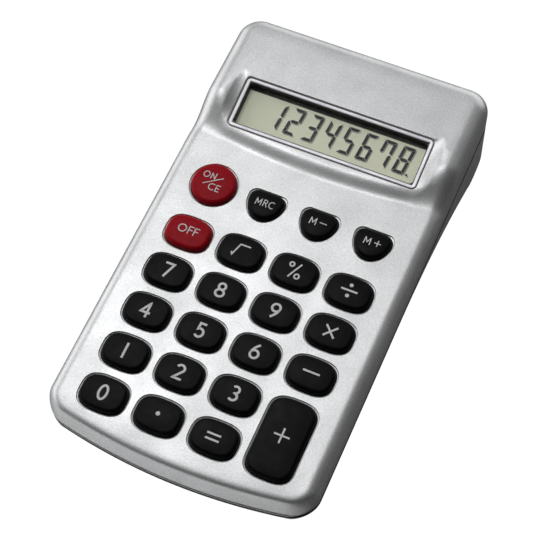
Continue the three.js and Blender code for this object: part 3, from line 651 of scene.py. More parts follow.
def crown(x, y):
    """Height of the top face before its edges are rounded."""
    past = y - (WAVE_FOOT + WAVE_BOW * (x / HALF_WIDTH) ** 2)
    stretch = 1 + SIDE_STRETCH * ease((np.abs(x) - BEZEL_SIZE[0] / 2 + 4) / 8)
    floor = SILL_RISE * ease((past - 0.6) / SILL_LENGTH)
    floor += np.maximum(y - BEZEL_FRONT, 0) * math.tan(BEZEL_SLOPE)
    floor = np.minimum(floor, HEAD_RISE * ease(past / WAVE_LENGTH))
    head = HEAD_RISE * ease(past / (WAVE_LENGTH * stretch))
    outside = np.abs(x) - BEZEL_SIZE[0] / 2
    beside = np.clip(outside / np.maximum(scoop_half_width(y) - BEZEL_SIZE[0] / 2, 0.5), 0, 1)
    behind = np.clip((y - BEZEL_BACK) / 0.2, 0, 1)
    turn = np.arctan2(np.maximum(y - BEZEL_BACK, 0), np.maximum(outside, 1e-6)) / (math.pi / 2)
    hollow = 0.4 * beside + 0.6 * beside**2
    share = np.where(outside > 0, np.maximum(hollow, ease(1.25 * turn)), behind)
    return floor + (head - floor) * share


def top_height(x, y, station):
    inward, front = edge_at(x, station)
    radius = SIDE_FILLET + (HEAD_FILLET - SIDE_FILLET) * ease((y - WAVE_FOOT) / WAVE_LENGTH)
    wall = -PARTING_Z - FRONT_LAND - FRONT_SLOPE * inward
    front_drop = (wall + np.hypot(wall, CREASE_SOFTNESS)) / 2
    edge = fillet(radius, inward)
    return crown(x, y) - (edge + (front_drop - edge) * front)


def half_width_at(station):
    from_end = np.minimum(station - FRONT_EDGE, BACK_EDGE - station)
    short = CORNER_RADIUS - np.clip(from_end, 0, CORNER_RADIUS)
    return HALF_WIDTH - CORNER_RADIUS + np.sqrt(CORNER_RADIUS**2 - short**2)


def underside(station, inset):
    past = np.maximum(station - RAMP_START, 0)
    ramp = KEYPAD_BOTTOM - RAMP_CURVE * past**2 + inset * np.hypot(1, 2 * RAMP_CURVE * past)
    radius = BULGE_RADIUS - inset
    along = np.clip(station - BULGE_CENTRE_Y, -radius, radius)
    return np.where(station > RAMP_END, BULGE_CENTRE_Z - np.sqrt(radius**2 - along**2), ramp)


def bottom_height(x, station, inset=0.0):
    radius = 1.2 + 0.3 * ease((station - RAMP_START) / 24)
    from_side = half_width_at(station) - inset - np.abs(x)
    from_front = station - FRONT_EDGE - inset
    rounding = np.maximum(fillet(radius, from_side), fillet(1.2, from_front))
    return np.minimum(underside(station, inset) + rounding, LOWER_TOP - 0.12)


SIDE_STATIONS = np.concatenate([
    np.linspace(FRONT_EDGE + CORNER_RADIUS, 46, 48, endpoint=False),
    np.linspace(46, 62, 40, endpoint=False),
    np.linspace(62, 76, 20, endpoint=False),
    np.linspace(76, BACK_EDGE - CORNER_RADIUS, 7),
])
END_XS = np.linspace(-(HALF_WIDTH - CORNER_RADIUS), HALF_WIDTH - CORNER_RADIUS, 39)
CORNER_ANGLES = np.radians(np.linspace(0, 90, 15)[1:-1])


def ring(inset):
    """Points (X, station) round the case, at one distance in from its outline."""
    reach = CORNER_RADIUS - inset
    side, front, back = HALF_WIDTH - inset, FRONT_EDGE + inset, BACK_EDGE - inset
    near, far = FRONT_EDGE + CORNER_RADIUS, BACK_EDGE - CORNER_RADIUS
    corner_x = HALF_WIDTH - CORNER_RADIUS
    points = [(x, front) for x in END_XS]
    points += [(corner_x + reach * np.sin(a), near - reach * np.cos(a)) for a in CORNER_ANGLES]
    points += [(side, s) for s in SIDE_STATIONS]
    points += [(corner_x + reach * np.cos(a), far + reach * np.sin(a)) for a in CORNER_ANGLES]
    points += [(x, back) for x in END_XS[::-1]]
    points += [(-corner_x - reach * np.sin(a), far + reach * np.cos(a)) for a in CORNER_ANGLES]
    points += [(-side, s) for s in SIDE_STATIONS[::-1]]
    points += [(-corner_x - reach * np.cos(a), near - reach * np.sin(a)) for a in CORNER_ANGLES]
    return np.array(points)


def ring_at(inset, height):
    """A loop of points round the case. Height is a number or a function of X, Y and station."""
    flat = ring(inset)
    x, station = flat[:, 0], flat[:, 1]
    y = station + bow(x, station)
    z = height(x, y, station) if callable(height) else np.full(len(flat), float(height))
    return np.column_stack([x, y, z])


def grid_points(stations, xs, height, keep):
    """Points of a grid inside the case that a test keeps, at a height."""
    x, station = (a.ravel() for a in np.meshgrid(xs, stations))
    y = station + bow(x, station)
    chosen = keep(x, y)
    x, y, station = x[chosen], y[chosen], station[chosen]
    return np.column_stack([x, y, height(x, y, station)])


# ---- Key outlines -----------------------------------------------------------------------------------------
def barrel(width, height, stretch=0.0, sides=48):
    """A superellipse, with an optional straight stretch let in at its middle."""
    angles = (np.arange(sides) + 0.5) / sides * 2 * math.pi
    c, s = np.cos(angles), np.sin(angles)
    x = np.sign(c) * np.abs(c) ** (2 / 2.9) * width / 2
    y = np.sign(s) * np.abs(s) ** (2 / 2.9) * (height - stretch) / 2 + np.sign(s) * stretch / 2
    return np.column_stack([x, y])


def shield(width, height):
    """A round-bottomed outline with a flat top."""
    radius = min(2.2, width / 3)
    shoulder = height / 2 - radius
    quarter = np.radians(np.linspace(0, 90, 8))
    x, y = width / 2 - radius * (1 - np.cos(quarter)), shoulder + radius * np.sin(quarter)
    top = np.linspace(x[-1], -x[-1], 8)[1:-1]
    under = math.pi + np.linspace(0, math.pi, 28)[1:-1]
    xs = [*x, *top, *-x[::-1], *(width / 2 * np.cos(under))]
    ys = [*y, *np.full(6, height / 2), *y[::-1], *(shoulder + (height / 2 + shoulder) * np.sin(under))]
    return np.column_stack([xs, ys])


def outline(kind, grow):
    if kind == "barrel":
        return barrel(KEY_SIZE[0] + 2 * grow, KEY_SIZE[1] + 2 * grow)
    if kind == "tall":
        return barrel(KEY_SIZE[0] + 2 * grow, KEY_SIZE[1] + ROW_PITCH + 2 * grow, ROW_PITCH)
    if kind == "shield":
        return shield(SHIELD_SIZE[0] + 2 * grow, SHIELD_SIZE[1] + 2 * grow)
    angles = (np.arange(48) + 0.5) / 48 * 2 * math.pi
    radius = KEY_SIZE[0] / 2 + grow
    return np.column_stack([radius * np.cos(angles), radius * np.sin(angles)])


TOP_ROW = TOP_ROW_Y / ROW_PITCH + 2
KEYS = [  # name, outline, column, row counted from the front
    ("key_0", "barrel", 0, 0), ("key_decimal", "barrel", 1, 0), ("key_equals", "barrel", 2, 0),
    ("key_plus", "tall", 3, 0.5), ("key_1", "barrel", 0, 1), ("key_2", "barrel", 1, 1),
    ("key_3", "barrel", 2, 1), ("key_4", "barrel", 0, 2), ("key_5", "barrel", 1, 2),
    ("key_6", "barrel", 2, 2), ("key_minus", "barrel", 3, 2), ("key_7", "barrel", 0, 3),
    ("key_8", "barrel", 1, 3), ("key_9", "barrel", 2, 3), ("key_multiply", "barrel", 3, 3),
    ("key_off", "barrel", 0, 4), ("key_sqrt", "barrel", 1, 4), ("key_percent", "barrel", 2, 4),
    ("key_divide", "barrel", 3, 4), ("key_on_clear", "round", 0, TOP_ROW + 0.08),
    ("key_memory_recall", "shield", 1, TOP_ROW), ("key_memory_minus", "shield", 2, TOP_ROW),
    ("key_memory_plus", "shield", 3, TOP_ROW),
]
KEYS = [(name, kind, (col - 1.5) * COLUMN_PITCH, (row - 2) * ROW_PITCH) for name, kind, col, row in KEYS]


def lifted(flat, x, y, z):
    """A flat loop moved to a place on the keypad, at one height or at a height for each point."""
    return np.column_stack([flat[:, 0] + x, flat[:, 1] + y, np.broadcast_to(z, len(flat))])


def key_loop(kind, x, y, grow, z):
    return lifted(outline(kind, grow), x, y, z)


def rounded(width, height, radius, segments):
    """The corner arcs of a rounded rectangle, counter-clockwise."""
    points = []
    for corner, (sx, sy) in enumerate(((1, 1), (-1, 1), (-1, -1), (1, -1))):
        for i in range(segments + 1):
            angle = (corner + i / segments) * math.pi / 2
            points.append((
                sx * (width / 2 - radius) + radius * math.cos(angle),
                sy * (height / 2 - radius) + radius * math.sin(angle),
            ))
    return points


def rectangle(width, height, radius, step=1.0):
    """A rounded rectangle with points along its straight sides too."""
    points, dense = rounded(width, height, radius, 6), []
    for a, b in zip(points, points[1:] + points[:1]):
        parts = max(1, round(math.dist(a, b) / step))
        dense += [(a[0] + (b[0] - a[0]) * i / parts, a[1] + (b[1] - a[1]) * i / parts) for i in range(parts)]
    return np.array(dense)


TO_KEYPAD = KEYPAD.inverted() @ DISPLAY


def opening_on(surface, grow, drop=0.0):
    """The display opening's loop where its sloping walls meet a surface, or a little below it."""
    clearance = 0.2 + grow  # a little more on the left and at the back than on the right and in front
    flat = rectangle(BEZEL_SIZE[0] + 2 * clearance, BEZEL_SIZE[1] + 2 * clearance, 1.35 + grow)
    flat += (-0.08, 0.08)
    depth = np.zeros(len(flat))
    for _ in range(6):
        points = np.array([TO_KEYPAD @ Vector((u, v, w)) for (u, v), w in zip(flat, depth)])
        depth += surface(points[:, 0], points[:, 1]) - points[:, 2]
    points[:, 2] -= drop
    return points


# ---- Upper shell ------------------------------------------------------------------------------------------
def clear_of_holes(margin):
    """A test for points that stay clear of the keys' holes and of the display opening."""

    def test(x, y):
        kept = np.ones(len(x), bool)
        for _, kind, kx, ky in KEYS:
            tall = ROW_PITCH / 2 if kind == "tall" else 0
            reach = KEY_SIZE[0] / 2 + margin
            kept &= (np.abs(x - kx) > reach) | (np.abs(y - ky) > reach + tall)
        inside = (np.abs(x) < BEZEL_SIZE[0] / 2 + GAP + margin / 2)
        inside &= (y > BEZEL_FRONT - GAP - margin / 2) & (y < BEZEL_BACK + GAP + margin / 2)
        return kept & ~inside

    return test


def roof(x, y):
    """The ceiling inside the upper shell."""
    return np.minimum(crown(x, y), crown(0.9 * x, y)) - WALL


def upper_shell():
    skin = Skin()

    def ceiling(x, y, station):
        inward, _ = edge_at(x, station)
        return roof(x, y) - 1.4 * (1 - np.clip((inward - WALL) / 2, 0, 1))

    insets = [0.05, 0.12, 0.22, 0.35, 0.5, 0.7, 0.9, 1.1, 1.3, 1.5, 1.7, 1.95, 2.25, 2.6, 3.0, 3.5, 4.1]
    skirt = [(WALL, 0), (SEAM_LEDGE, 0), (SEAM_LEDGE - 0.03, 0.12), (0.13, 0.32), (0.05, 0.55), (0.01, 0.85)]
    outside = [ring_at(inset, PARTING_Z + z) for inset, z in skirt]
    outside += [ring_at(inset, top_height) for inset in [0, *insets]]
    rim, top_ring = skin.chain(outside)
    inside = [ring_at(WALL + inset, ceiling) for inset in (0, 0.5, 1.2, 2.2, 3.4)]
    _, roof_ring = skin.chain(inside, [rim], flip=True)

    top_holes, roof_holes = [], []
    steps = [(0.74, 0), (0.68, 0), (0.61, -0.02), (0.56, -0.07), (0.53, -0.15), (0.52, -0.36), (0.49, -0.4),
             (0.24, -0.42), (0.19, -0.46), (0.17, -0.58), (0.17, -WALL)]
    for _, kind, x, y in KEYS:
        top, bottom = skin.chain([key_loop(kind, x, y, grow, z) for grow, z in steps])
        top_holes.append(top)
        roof_holes.append(bottom)
    walls = [opening_on(crown, 0.3), opening_on(crown, 0.18), opening_on(crown, 0.08, 0.05)]
    walls += [opening_on(crown, 0.02, 0.14), opening_on(crown, 0.0, 0.3), opening_on(roof, 0.0)]
    top, bottom = skin.chain(walls)
    top_holes.append(top)
    roof_holes.append(bottom)

    test = clear_of_holes(1.2)
    edge = HALF_WIDTH - 6.0
    plate = grid_points(np.arange(-28, 46, 3.0), np.linspace(-edge, edge, 20), top_height, test)
    wave = grid_points(np.arange(46, 77, 0.4), np.linspace(-edge, edge, 118), top_height,
                       lambda x, y: test(x, y) & (np.abs(np.abs(x) - scoop_half_width(y)) > 0.3))
    turns = np.linspace(-1, 1, 64)[1:-1] * math.pi / 2
    ridge_y = SCOOP_MIDDLE + SCOOP_REACH * np.sin(turns)
    ridge_x = np.minimum(BEZEL_SIZE[0] / 2 + SCOOP_WIDTH * np.cos(turns), edge)
    clear = (ridge_x > 26.9) | (ridge_y < 55.7) | (ridge_y > 71.4)
    ridge_x, ridge_y = ridge_x[clear], ridge_y[clear]
    ridges = [np.column_stack([x, ridge_y, top_height(x, ridge_y, ridge_y)]) for x in (ridge_x, -ridge_x)]
    head = grid_points(np.arange(77.4, 84.5, 1.2), np.linspace(-edge, edge, 40), top_height, test)
    skin.fill(top_ring, top_holes, np.vstack([plate, wave, head, *ridges]))

    coarse = grid_points(np.arange(-26, 84, 2.5), np.linspace(-27, 27, 19), ceiling, clear_of_holes(0.8))
    skin.fill(roof_ring, roof_holes, coarse, flip=True)
    mesh = new_mesh(skin.points, skin.faces, KEYPAD)
    return new_object("upper_shell", mesh, SILVER, sharp=38)


# ---- Lower shell and battery door -------------------------------------------------------------------------
def lower_skin():
    skin = Skin()
    floor = lambda x, y, station: bottom_height(x, station)
    inner = lambda x, y, station: bottom_height(x, station, WALL)
    top = LOWER_TOP - 0.07
    side = lambda share: lambda x, y, station: top * (1 - share) + share * floor(x, y, station)
    insets = [0.015, 0.06, 0.14, 0.25, 0.4, 0.6, 0.85, 1.15, 1.5, 1.95, 2.5, 3.2, 4.1, 5.2]
    outside = [ring_at(1.75, PARTING_Z - GAP), ring_at(GROOVE[0], PARTING_Z - GAP)]
    outside += [ring_at(GROOVE[0], LOWER_TOP), ring_at(0.07, LOWER_TOP)]
    outside += [ring_at(0, side(share)) for share in (0, 0.33, 0.66, 1)]
    outside += [ring_at(inset, floor) for inset in insets]
    top_ring, floor_ring = skin.chain(outside, flip=True)
    inside = [ring_at(1.75, PARTING_Z + 0.75), ring_at(2.4, PARTING_Z + 0.75), ring_at(2.4, inner)]
    inside += [ring_at(inset, inner) for inset in (2.8, 3.4, 4.2, 5.2)]
    _, inner_ring = skin.chain(inside, [top_ring])
    everywhere = lambda x, y: np.ones(len(x), bool)
    stations = np.concatenate([np.arange(-28, 22, 4.0), np.arange(22, 70, 2.0), np.arange(70, 85, 0.8)])
    points = grid_points(stations, np.linspace(-29, 29, 24), floor, everywhere)
    skin.fill(floor_ring, [], points, flip=True)
    points = grid_points(stations, np.linspace(-29, 29, 14), inner, everywhere)
    skin.fill(inner_ring, [], points)
    return new_mesh(skin.points, skin.faces, KEYPAD)


def seam_tongue():
    """A dark tongue that stands in the groove between the two shells: painted shade that makes the seam read
    as a dark line.
    """
    skin = Skin()
    high, low = PARTING_Z - 0.02, LOWER_TOP + 0.02
    section = [(0.03, low), (0.02, high), (0.4, high), (0.4, low)]
    skin.chain([ring_at(inset, z) for inset, z in section], closed=True)
    # Painted shade: the tongue's charcoal stands in for the darkness of the deep seam.
    tongue = new_object("seam_tongue", new_mesh(skin.points, skin.faces, KEYPAD), SEAM_SHADE_CHARCOAL)
    give(tongue, "case", "black_plastic")


def door_block(grow):
    low = (-DOOR_HALF_WIDTH - grow, DOOR_FRONT - grow, -40)
    high = (DOOR_HALF_WIDTH + grow, 100, DOOR_TOP + grow)
    return box_mesh(low, high, KEYPAD)


def post(x, y, low, high, radius):
    return turned([(radius, low), (radius, high)], 40, KEYPAD @ Matrix.Translation((x, y, 0)))


def lower_shell(skin_mesh):
    shell = boolean(skin_mesh, door_block(GAP), "DIFFERENCE")
    for x, y, seat in [*FRONT_SCREWS, *REAR_SCREWS]:
        floor = float(bottom_height(np.array([x]), np.array([y]))[0])
        shell = boolean(shell, post(x, y, floor + 1.0, -5.9, 2.9), "UNION")
        shell = boolean(shell, post(x, y, -14, seat, 2.1), "DIFFERENCE")
        shell = boolean(shell, post(x, y, -14, -5, 1.3), "DIFFERENCE")
    return new_object("lower_shell", shell, SILVER, sharp=38)


# ---- Keys -------------------------------------------------------------------------------------------------
CAP_TOP = 1.42
CAP_CROWN = 0.16  # how far the face is domed
CAP_SHOULDER = (0.95, 0.85)  # how far in and how far up the shoulder turns
INK_FILM = (0.025, 0.12)  # how far the ink stands up, and its whole thickness, set into the face
RED_KEYS = ("key_off", "key_on_clear")


def key_slot(name):
    return "red_key" if name in RED_KEYS else "black_key"


def cap_height(kind, x, y):
    """Height of a key's face at a place measured from the key's middle."""
    half_x = (SHIELD_SIZE[0] if kind == "shield" else KEY_SIZE[0]) / 2
    half_y = {"shield": SHIELD_SIZE[1], "round": KEY_SIZE[0]}.get(kind, KEY_SIZE[1]) / 2
    along = np.maximum(np.abs(y) - (ROW_PITCH / 2 if kind == "tall" else 0), 0)
    return CAP_TOP - CAP_CROWN * ((x / half_x) ** 2 + (along / half_y) ** 2)


def key_cap(name, kind, x, y):
    """A key: a flange under the case, an upright neck, a rounded shoulder and a slightly domed face."""
    skin = Skin()
    run, rise = CAP_SHOULDER
    edge_z = CAP_TOP - CAP_CROWN - rise
    levels = [(0.8, -2.6), (0.8, -1.95), (0.05, -1.9), (0, -1.85), (0, 0), (0, edge_z)]
    loops = [key_loop(kind, x, y, grow, z) for grow, z in levels]
    for angle in np.radians([15, 30, 45, 58, 70, 80, 90]):
        loops.append(key_loop(kind, x, y, -run * (1 - math.cos(angle)), edge_z + rise * math.sin(angle)))
    rim = outline(kind, -run)
    rim_z = loops[-1][0, 2]
    for share in (0.95, 0.86, 0.72, 0.55, 0.36, 0.18):
        flat = rim * share
        if kind == "tall":
            straight = np.clip(rim[:, 1], -ROW_PITCH / 2, ROW_PITCH / 2)
            flat = np.column_stack([rim[:, 0] * share, straight + (rim[:, 1] - straight) * share])
        z = cap_height(kind, flat[:, 0], flat[:, 1])
        lift = np.minimum(1, 0.35 + ease((1 - share) / 0.4))
        loops.append(lifted(flat, x, y, rim_z + (z - rim_z) * lift))
    first, last = skin.chain(loops)
    skin.cap(first, flip=True)
    if kind == "tall":
        half = len(last) // 2
        for i in range(half - 1):
            a, b = last[i], last[i + 1]
            c, d = last[len(last) - 2 - i], last[len(last) - 1 - i]
            skin.faces.append((a, b, c, d))
    else:
        skin.cap(last)
    mesh = new_mesh(skin.points, skin.faces, KEYPAD)
    piece = new_object(f"{name}_cap", mesh, RED_KEY if name in RED_KEYS else BLACK_KEY)
    give(piece, name, key_slot(name), name)


# Symbols are drawn as strokes, in millimetres from a symbol's middle. A stroke is a line of points.
def arc(cx, cy, rx, ry, start, end):
    count = max(6, round(abs(end - start) / 9))
    angles = np.radians(np.linspace(start, end, count))
    return [(cx + rx * math.cos(a), cy + ry * math.sin(a)) for a in angles]


def curve_through(*handles):
    """A quadratic curve from the first point to the last, pulled towards the middle one."""
    a, b, c = (np.array(h, float) for h in handles)
    return [tuple((1 - t) ** 2 * a + 2 * t * (1 - t) * b + t**2 * c) for t in np.linspace(0, 1, 12)]


SIX = [curve_through((0.62, 1.95), (-0.72, 0.95), (-1.03, -0.68)) + arc(0, -0.75, 1.03, 1.05, 184, 534)]
DIGITS = {
    "0": [arc(0, 0, 1.0, 1.82, 90, 450)],
    "1": [[(0, 2.1), (0, -2.1)]],
    "2": [arc(-0.02, 0.85, 0.98, 0.95, 160, -28) + [(-1.0, -1.82), (1.2, -1.82)]],
    "3": [arc(-0.12, 0.93, 0.88, 0.88, 140, -82) + arc(-0.18, -0.88, 1.02, 0.93, 82, -140)],
    "4": [[(1.25, -0.78), (-1.2, -0.78), (0.42, 1.85), (0.42, -2.1)]],
    "5": [[(0.95, 1.82), (-0.62, 1.82), (-0.72, 0.18)] + arc(-0.1, -0.68, 1.05, 1.12, 118, -142)],
    "6": SIX,
    "7": [[(-1.2, 1.82), (1.12, 1.82), (-0.35, -2.1)]],
    "8": [arc(0, 0.95, 0.86, 0.87, 90, 450), arc(0, -0.88, 1.08, 0.95, 90, 450)],
    "9": [[(-x, -y) for x, y in SIX[0]]],
}
LETTERS = {  # one unit high, on a middle line
    "O": (1.0, [arc(0, 0, 0.42, 0.43, 90, 450)]),
    "F": (0.56, [[(-0.2, -0.5), (-0.2, 0.43), (0.28, 0.43)], [(-0.2, 0.02), (0.22, 0.02)]]),
    "N": (0.8, [[(-0.3, -0.5), (-0.3, 0.42), (0.3, -0.42), (0.3, 0.5)]]),
    "C": (0.82, [arc(0.1, 0, 0.43, 0.43, 52, 308)]),
    "E": (0.62, [[(0.26, 0.43), (-0.22, 0.43), (-0.22, -0.43), (0.26, -0.43)], [(-0.22, 0.0), (0.2, 0.0)]]),
    "M": (0.98, [[(-0.38, -0.5), (-0.34, 0.4), (0, -0.22), (0.34, 0.4), (0.38, -0.5)]]),
    "R": (0.72, [[(-0.24, -0.5), (-0.24, 0.43), (0.02, 0.43)] + arc(0.02, 0.22, 0.2, 0.21, 90, -90)
                 + [(-0.24, 0.01)], [(0.02, 0.0), (0.32, -0.5)]]),
}


def word(text, x, y, height, width):
    """A word as strokes, centred at a place and fitted to a width."""
    total = sum(LETTERS[c][0] for c in text)
    scale = width / (total - 0.1)
    strokes, at = [], x - total * scale / 2
    for c in text:
        advance, shapes = LETTERS[c]
        middle = at + advance * scale / 2
        strokes += [[(middle + px * scale * 0.86, y + py * height) for px, py in s] for s in shapes]
        at += advance * scale
    return strokes


def dot(x, y, radius):
    return ("disc", x, y, radius)


def bar(x0, y0, x1, y1):
    return [(x0, y0), (x1, y1)]


SYMBOLS = {  # key name: stroke width, strokes
    **{f"key_{d}": (0.6, strokes) for d, strokes in DIGITS.items()},
    "key_decimal": (0.5, [dot(-0.1, 0.2, 0.55)]),
    "key_equals": (0.5, [bar(-1.95, 0.6, 1.6, 0.6), bar(-1.95, -0.8, 1.6, -0.8)]),
    "key_plus": (0.46, [bar(-2.02, 0.5, 1.96, 0.5), bar(-0.03, -1.5, -0.03, 2.5)]),
    "key_minus": (0.5, [bar(-2.15, 0.2, 2.15, 0.2)]),
    "key_multiply": (0.5, [bar(-1.4, -1.55, 1.5, 1.5), bar(-1.5, 1.5, 1.4, -1.55)]),
    "key_divide": (0.5, [bar(-2.15, 0.1, 2.15, 0.1), dot(0, 1.6, 0.5), dot(0, -1.4, 0.5)]),
    "key_sqrt": (0.4, [[(-2.1, -1.0), (-1.72, -1.72), (-0.64, 1.62), (2.05, 1.66)]]),
    "key_percent": (0.42, [arc(-1.2, 1.45, 0.55, 0.58, 90, 450), arc(1.1, -1.35, 0.6, 0.62, 90, 450),
                           bar(-1.0, -2.15, 1.15, 2.2)]),
    "key_off": (0.28, word("OFF", -0.1, 0.35, 2.35, 5.7)),
    "key_on_clear": (0.25, word("ON", -1.75, 1.7, 1.95, 3.6) + word("CE", 0.75, -1.35, 2.05, 3.3)
                     + [bar(-2.55, -1.2, 2.0, 1.95)]),
    "key_memory_recall": (0.24, word("MRC", 0.0, 0.35, 2.1, 5.1)),
    "key_memory_minus": (0.26, word("M", -1.25, 0.4, 2.15, 2.1) + [bar(0.45, 0.5, 2.35, 0.5)]),
    "key_memory_plus": (0.26, word("M", -1.15, 0.4, 2.15, 2.1)
                        + [bar(0.65, 0.4, 2.4, 0.4), bar(1.52, -0.47, 1.52, 1.27)]),
}


def ribbon(stroke, width):
    """A stroke's outline as pairs of points left and right of it, about a quarter of a millimetre apart."""
    corners = np.array(stroke, float)
    closed = np.allclose(corners[0], corners[-1], atol=1e-6)
    line, knots = [corners[0]], []
    for a, b in zip(corners, corners[1:]):
        parts = max(1, math.ceil(np.linalg.norm(b - a) / 0.25))
        line += [a + (b - a) * i / parts for i in range(1, parts + 1)]
    line = np.array(line[:-1] if closed else line)
    count = len(line)
    pairs = []
    for i, p in enumerate(line):
        before = line[(i - 1) % count] if closed or i > 0 else p
        after = line[(i + 1) % count] if closed or i < count - 1 else p
        steps = [d / np.linalg.norm(d) for d in (p - before, after - p) if np.linalg.norm(d) > 1e-9]
        way = sum(steps)
        way = way / np.linalg.norm(way)
        normal = np.array([-way[1], way[0]])
        reach = width / 2 / max(0.55, abs(float(np.dot(way, steps[0]))))
        pairs.append((p + normal * reach, p - normal * reach))
    return pairs, closed


def plate_of(pairs, closed, height, thickness):
    """A thin closed plate from pairs of points, following a height."""
    points, faces = [], []
    for pair in pairs:
        for level in (0, -thickness):
            points += [(p[0], p[1], height(p[0], p[1]) + level) for p in pair]
    count = len(pairs)
    for i in range(count if closed else count - 1):
        a, b = 4 * i, 4 * ((i + 1) % count)
        faces += [(a, a + 1, b + 1, b), (a + 3, a + 2, b + 2, b + 3)]
        faces += [(a + 2, a, b, b + 2), (a + 1, a + 3, b + 3, b + 1)]
    if not closed:
        last = 4 * (count - 1)
        faces += [(0, 2, 3, 1), (last, last + 1, last + 3, last + 2)]
    return points, faces


def disc_plate(x, y, radius, height, thickness):
    angles = np.linspace(0, 2 * math.pi, 20, endpoint=False)
    rim = [(x + radius * math.cos(a), y + radius * math.sin(a)) for a in angles]
    skin = Skin()
    skin.lump([[(px, py, height(px, py) + level) for px, py in rim] for level in (-thickness, 0)])
    return skin.points, skin.faces


def symbol(name, kind, x, y):
    """The print on a key: a film of ink that follows the domed face."""
    width, strokes = SYMBOLS[name]
    proud, thickness = INK_FILM
    height = lambda px, py: float(cap_height(kind, np.array(px), np.array(py))) + proud
    place = KEYPAD @ Matrix.Translation((x, y, 0))
    mesh = None
    for stroke in strokes:
        if stroke[0] == "disc":
            points, faces = disc_plate(*stroke[1:], height, thickness)
        else:
            points, faces = plate_of(*ribbon(stroke, width), height, thickness)
        part = new_mesh(points, faces, place)
        mesh = boolean(mesh, part, "UNION") if mesh else part
    give(new_object(f"{name}_print", mesh, INK), name, key_slot(name))


# ---- Display ----------------------------------------------------------------------------------------------
def rectangle_loops(steps, size, radius_at):
    """Loops round a rectangle. Steps are (distance in from the edge, height), up its outside."""
    return [
        [(u, v, z) for u, v in rounded(size[0] - 2 * inset, size[1] - 2 * inset, radius_at(inset), 8)]
        for inset, z in steps
    ]


def rectangle_ring(name, steps, size, finish):
    """A closed ring in the display's frame."""
    skin = Skin()
    skin.chain(rectangle_loops(steps, size, lambda inset: max(1.2 - inset, 0.2)), closed=True)
    return new_object(name, new_mesh(skin.points, skin.faces, DISPLAY), finish)


def display_lump(name, loops, finish):
    """A closed lump in the display's frame, from loops that go up it."""
    skin = Skin()
    skin.lump(loops)
    return new_object(name, new_mesh(skin.points, skin.faces, DISPLAY), finish)


def display_frame():
    band = (BEZEL_SIZE[0] - WINDOW_SIZE[0]) / 2
    steps = [(0, -1.0), (0, -0.24), (0.03, -0.1), (0.1, -0.02), (0.2, 0.02), (0.34, 0.03), (0.55, 0.0),
             (0.75, -0.01), (band - 0.12, -0.03), (band - 0.04, -0.08), (band, -0.18), (band, -1.0)]
    bezel = rectangle_ring("bezel_frame", steps, BEZEL_SIZE, BEZEL_SILVER)
    give(bezel, "case", "bright_bezel", "display_bezel")
    inner = (WINDOW_SIZE[0] - 0.02, WINDOW_SIZE[1] - 0.02)
    steps = [(0, -2.36), (0, -0.14), (0.05, -0.1), (0.14, -0.14), (0.16, -0.24), (0.16, -2.36)]
    give(rectangle_ring("window_mask", steps, inner, MASK), "case", "black_plastic")
    size = (WINDOW_SIZE[0] - 0.42, WINDOW_SIZE[1] - 0.42)
    loops = rectangle_loops([(0, -2.0), (0, -1.36), (0.05, -1.3)], size, lambda inset: 0.3)
    give(display_lump("window_pane", loops, ACRYLIC), "case", "clear_window", "display_window")


SEGMENTS = {"1": "bc", "2": "abged", "3": "abgcd", "4": "fgbc", "5": "afgcd", "6": "afgedc", "7": "fabc",
            "8": "abcdefg"}
DIGIT_SIZE = (3.3, 7.75)
DIGIT_PITCH = 5.06
LAST_DIGIT = (20.05, 0.35)  # middle of the last digit in the display's frame
SLANT = math.tan(math.radians(6))
LCD_FACE = -2.4
SHADE_SHIFT = (0.34, -0.3)  # where the segments' painted shade falls
POINT_SIZE = 0.52
SHADOW_STRIP = (49.4, 4.95, 6.0)  # length of the painted shadow strip behind the digits, and where it starts and ends


def segment_outlines():
    """The seven segments of a digit as mitred bars round its middle."""
    w, h, t, g = DIGIT_SIZE[0] / 2, DIGIT_SIZE[1] / 2, 0.84, 0.09
    return {
        "a": [(-w + g, h), (w - g, h), (w - t, h - t), (-w + t, h - t)],
        "d": [(-w + t, -h + t), (w - t, -h + t), (w - g, -h), (-w + g, -h)],
        "g": [(-w + 0.45, 0), (-w + t + 0.1, t / 2), (w - t - 0.1, t / 2),
              (w - 0.45, 0), (w - t - 0.1, -t / 2), (-w + t + 0.1, -t / 2)],
        "f": [(-w, h - g), (-w + t, h - t - g), (-w + t, t / 2 + g), (-w + 0.32, g), (-w, 0.3)],
        "b": [(w, h - g), (w, 0.3), (w - 0.32, g), (w - t, t / 2 + g), (w - t, h - t - g)],
        "e": [(-w, -0.3), (-w + 0.32, -g), (-w + t, -t / 2 - g), (-w + t, -h + t + g), (-w, -h + g)],
        "c": [(w, -0.3), (w, -h + g), (w - t, -h + t + g), (w - t, -t / 2 - g), (w - 0.32, -g)],
    }


def slab(flat, low, high):
    """Two loops, one above the other."""
    return [[(x, y, z) for x, y in flat] for z in (low, high)]


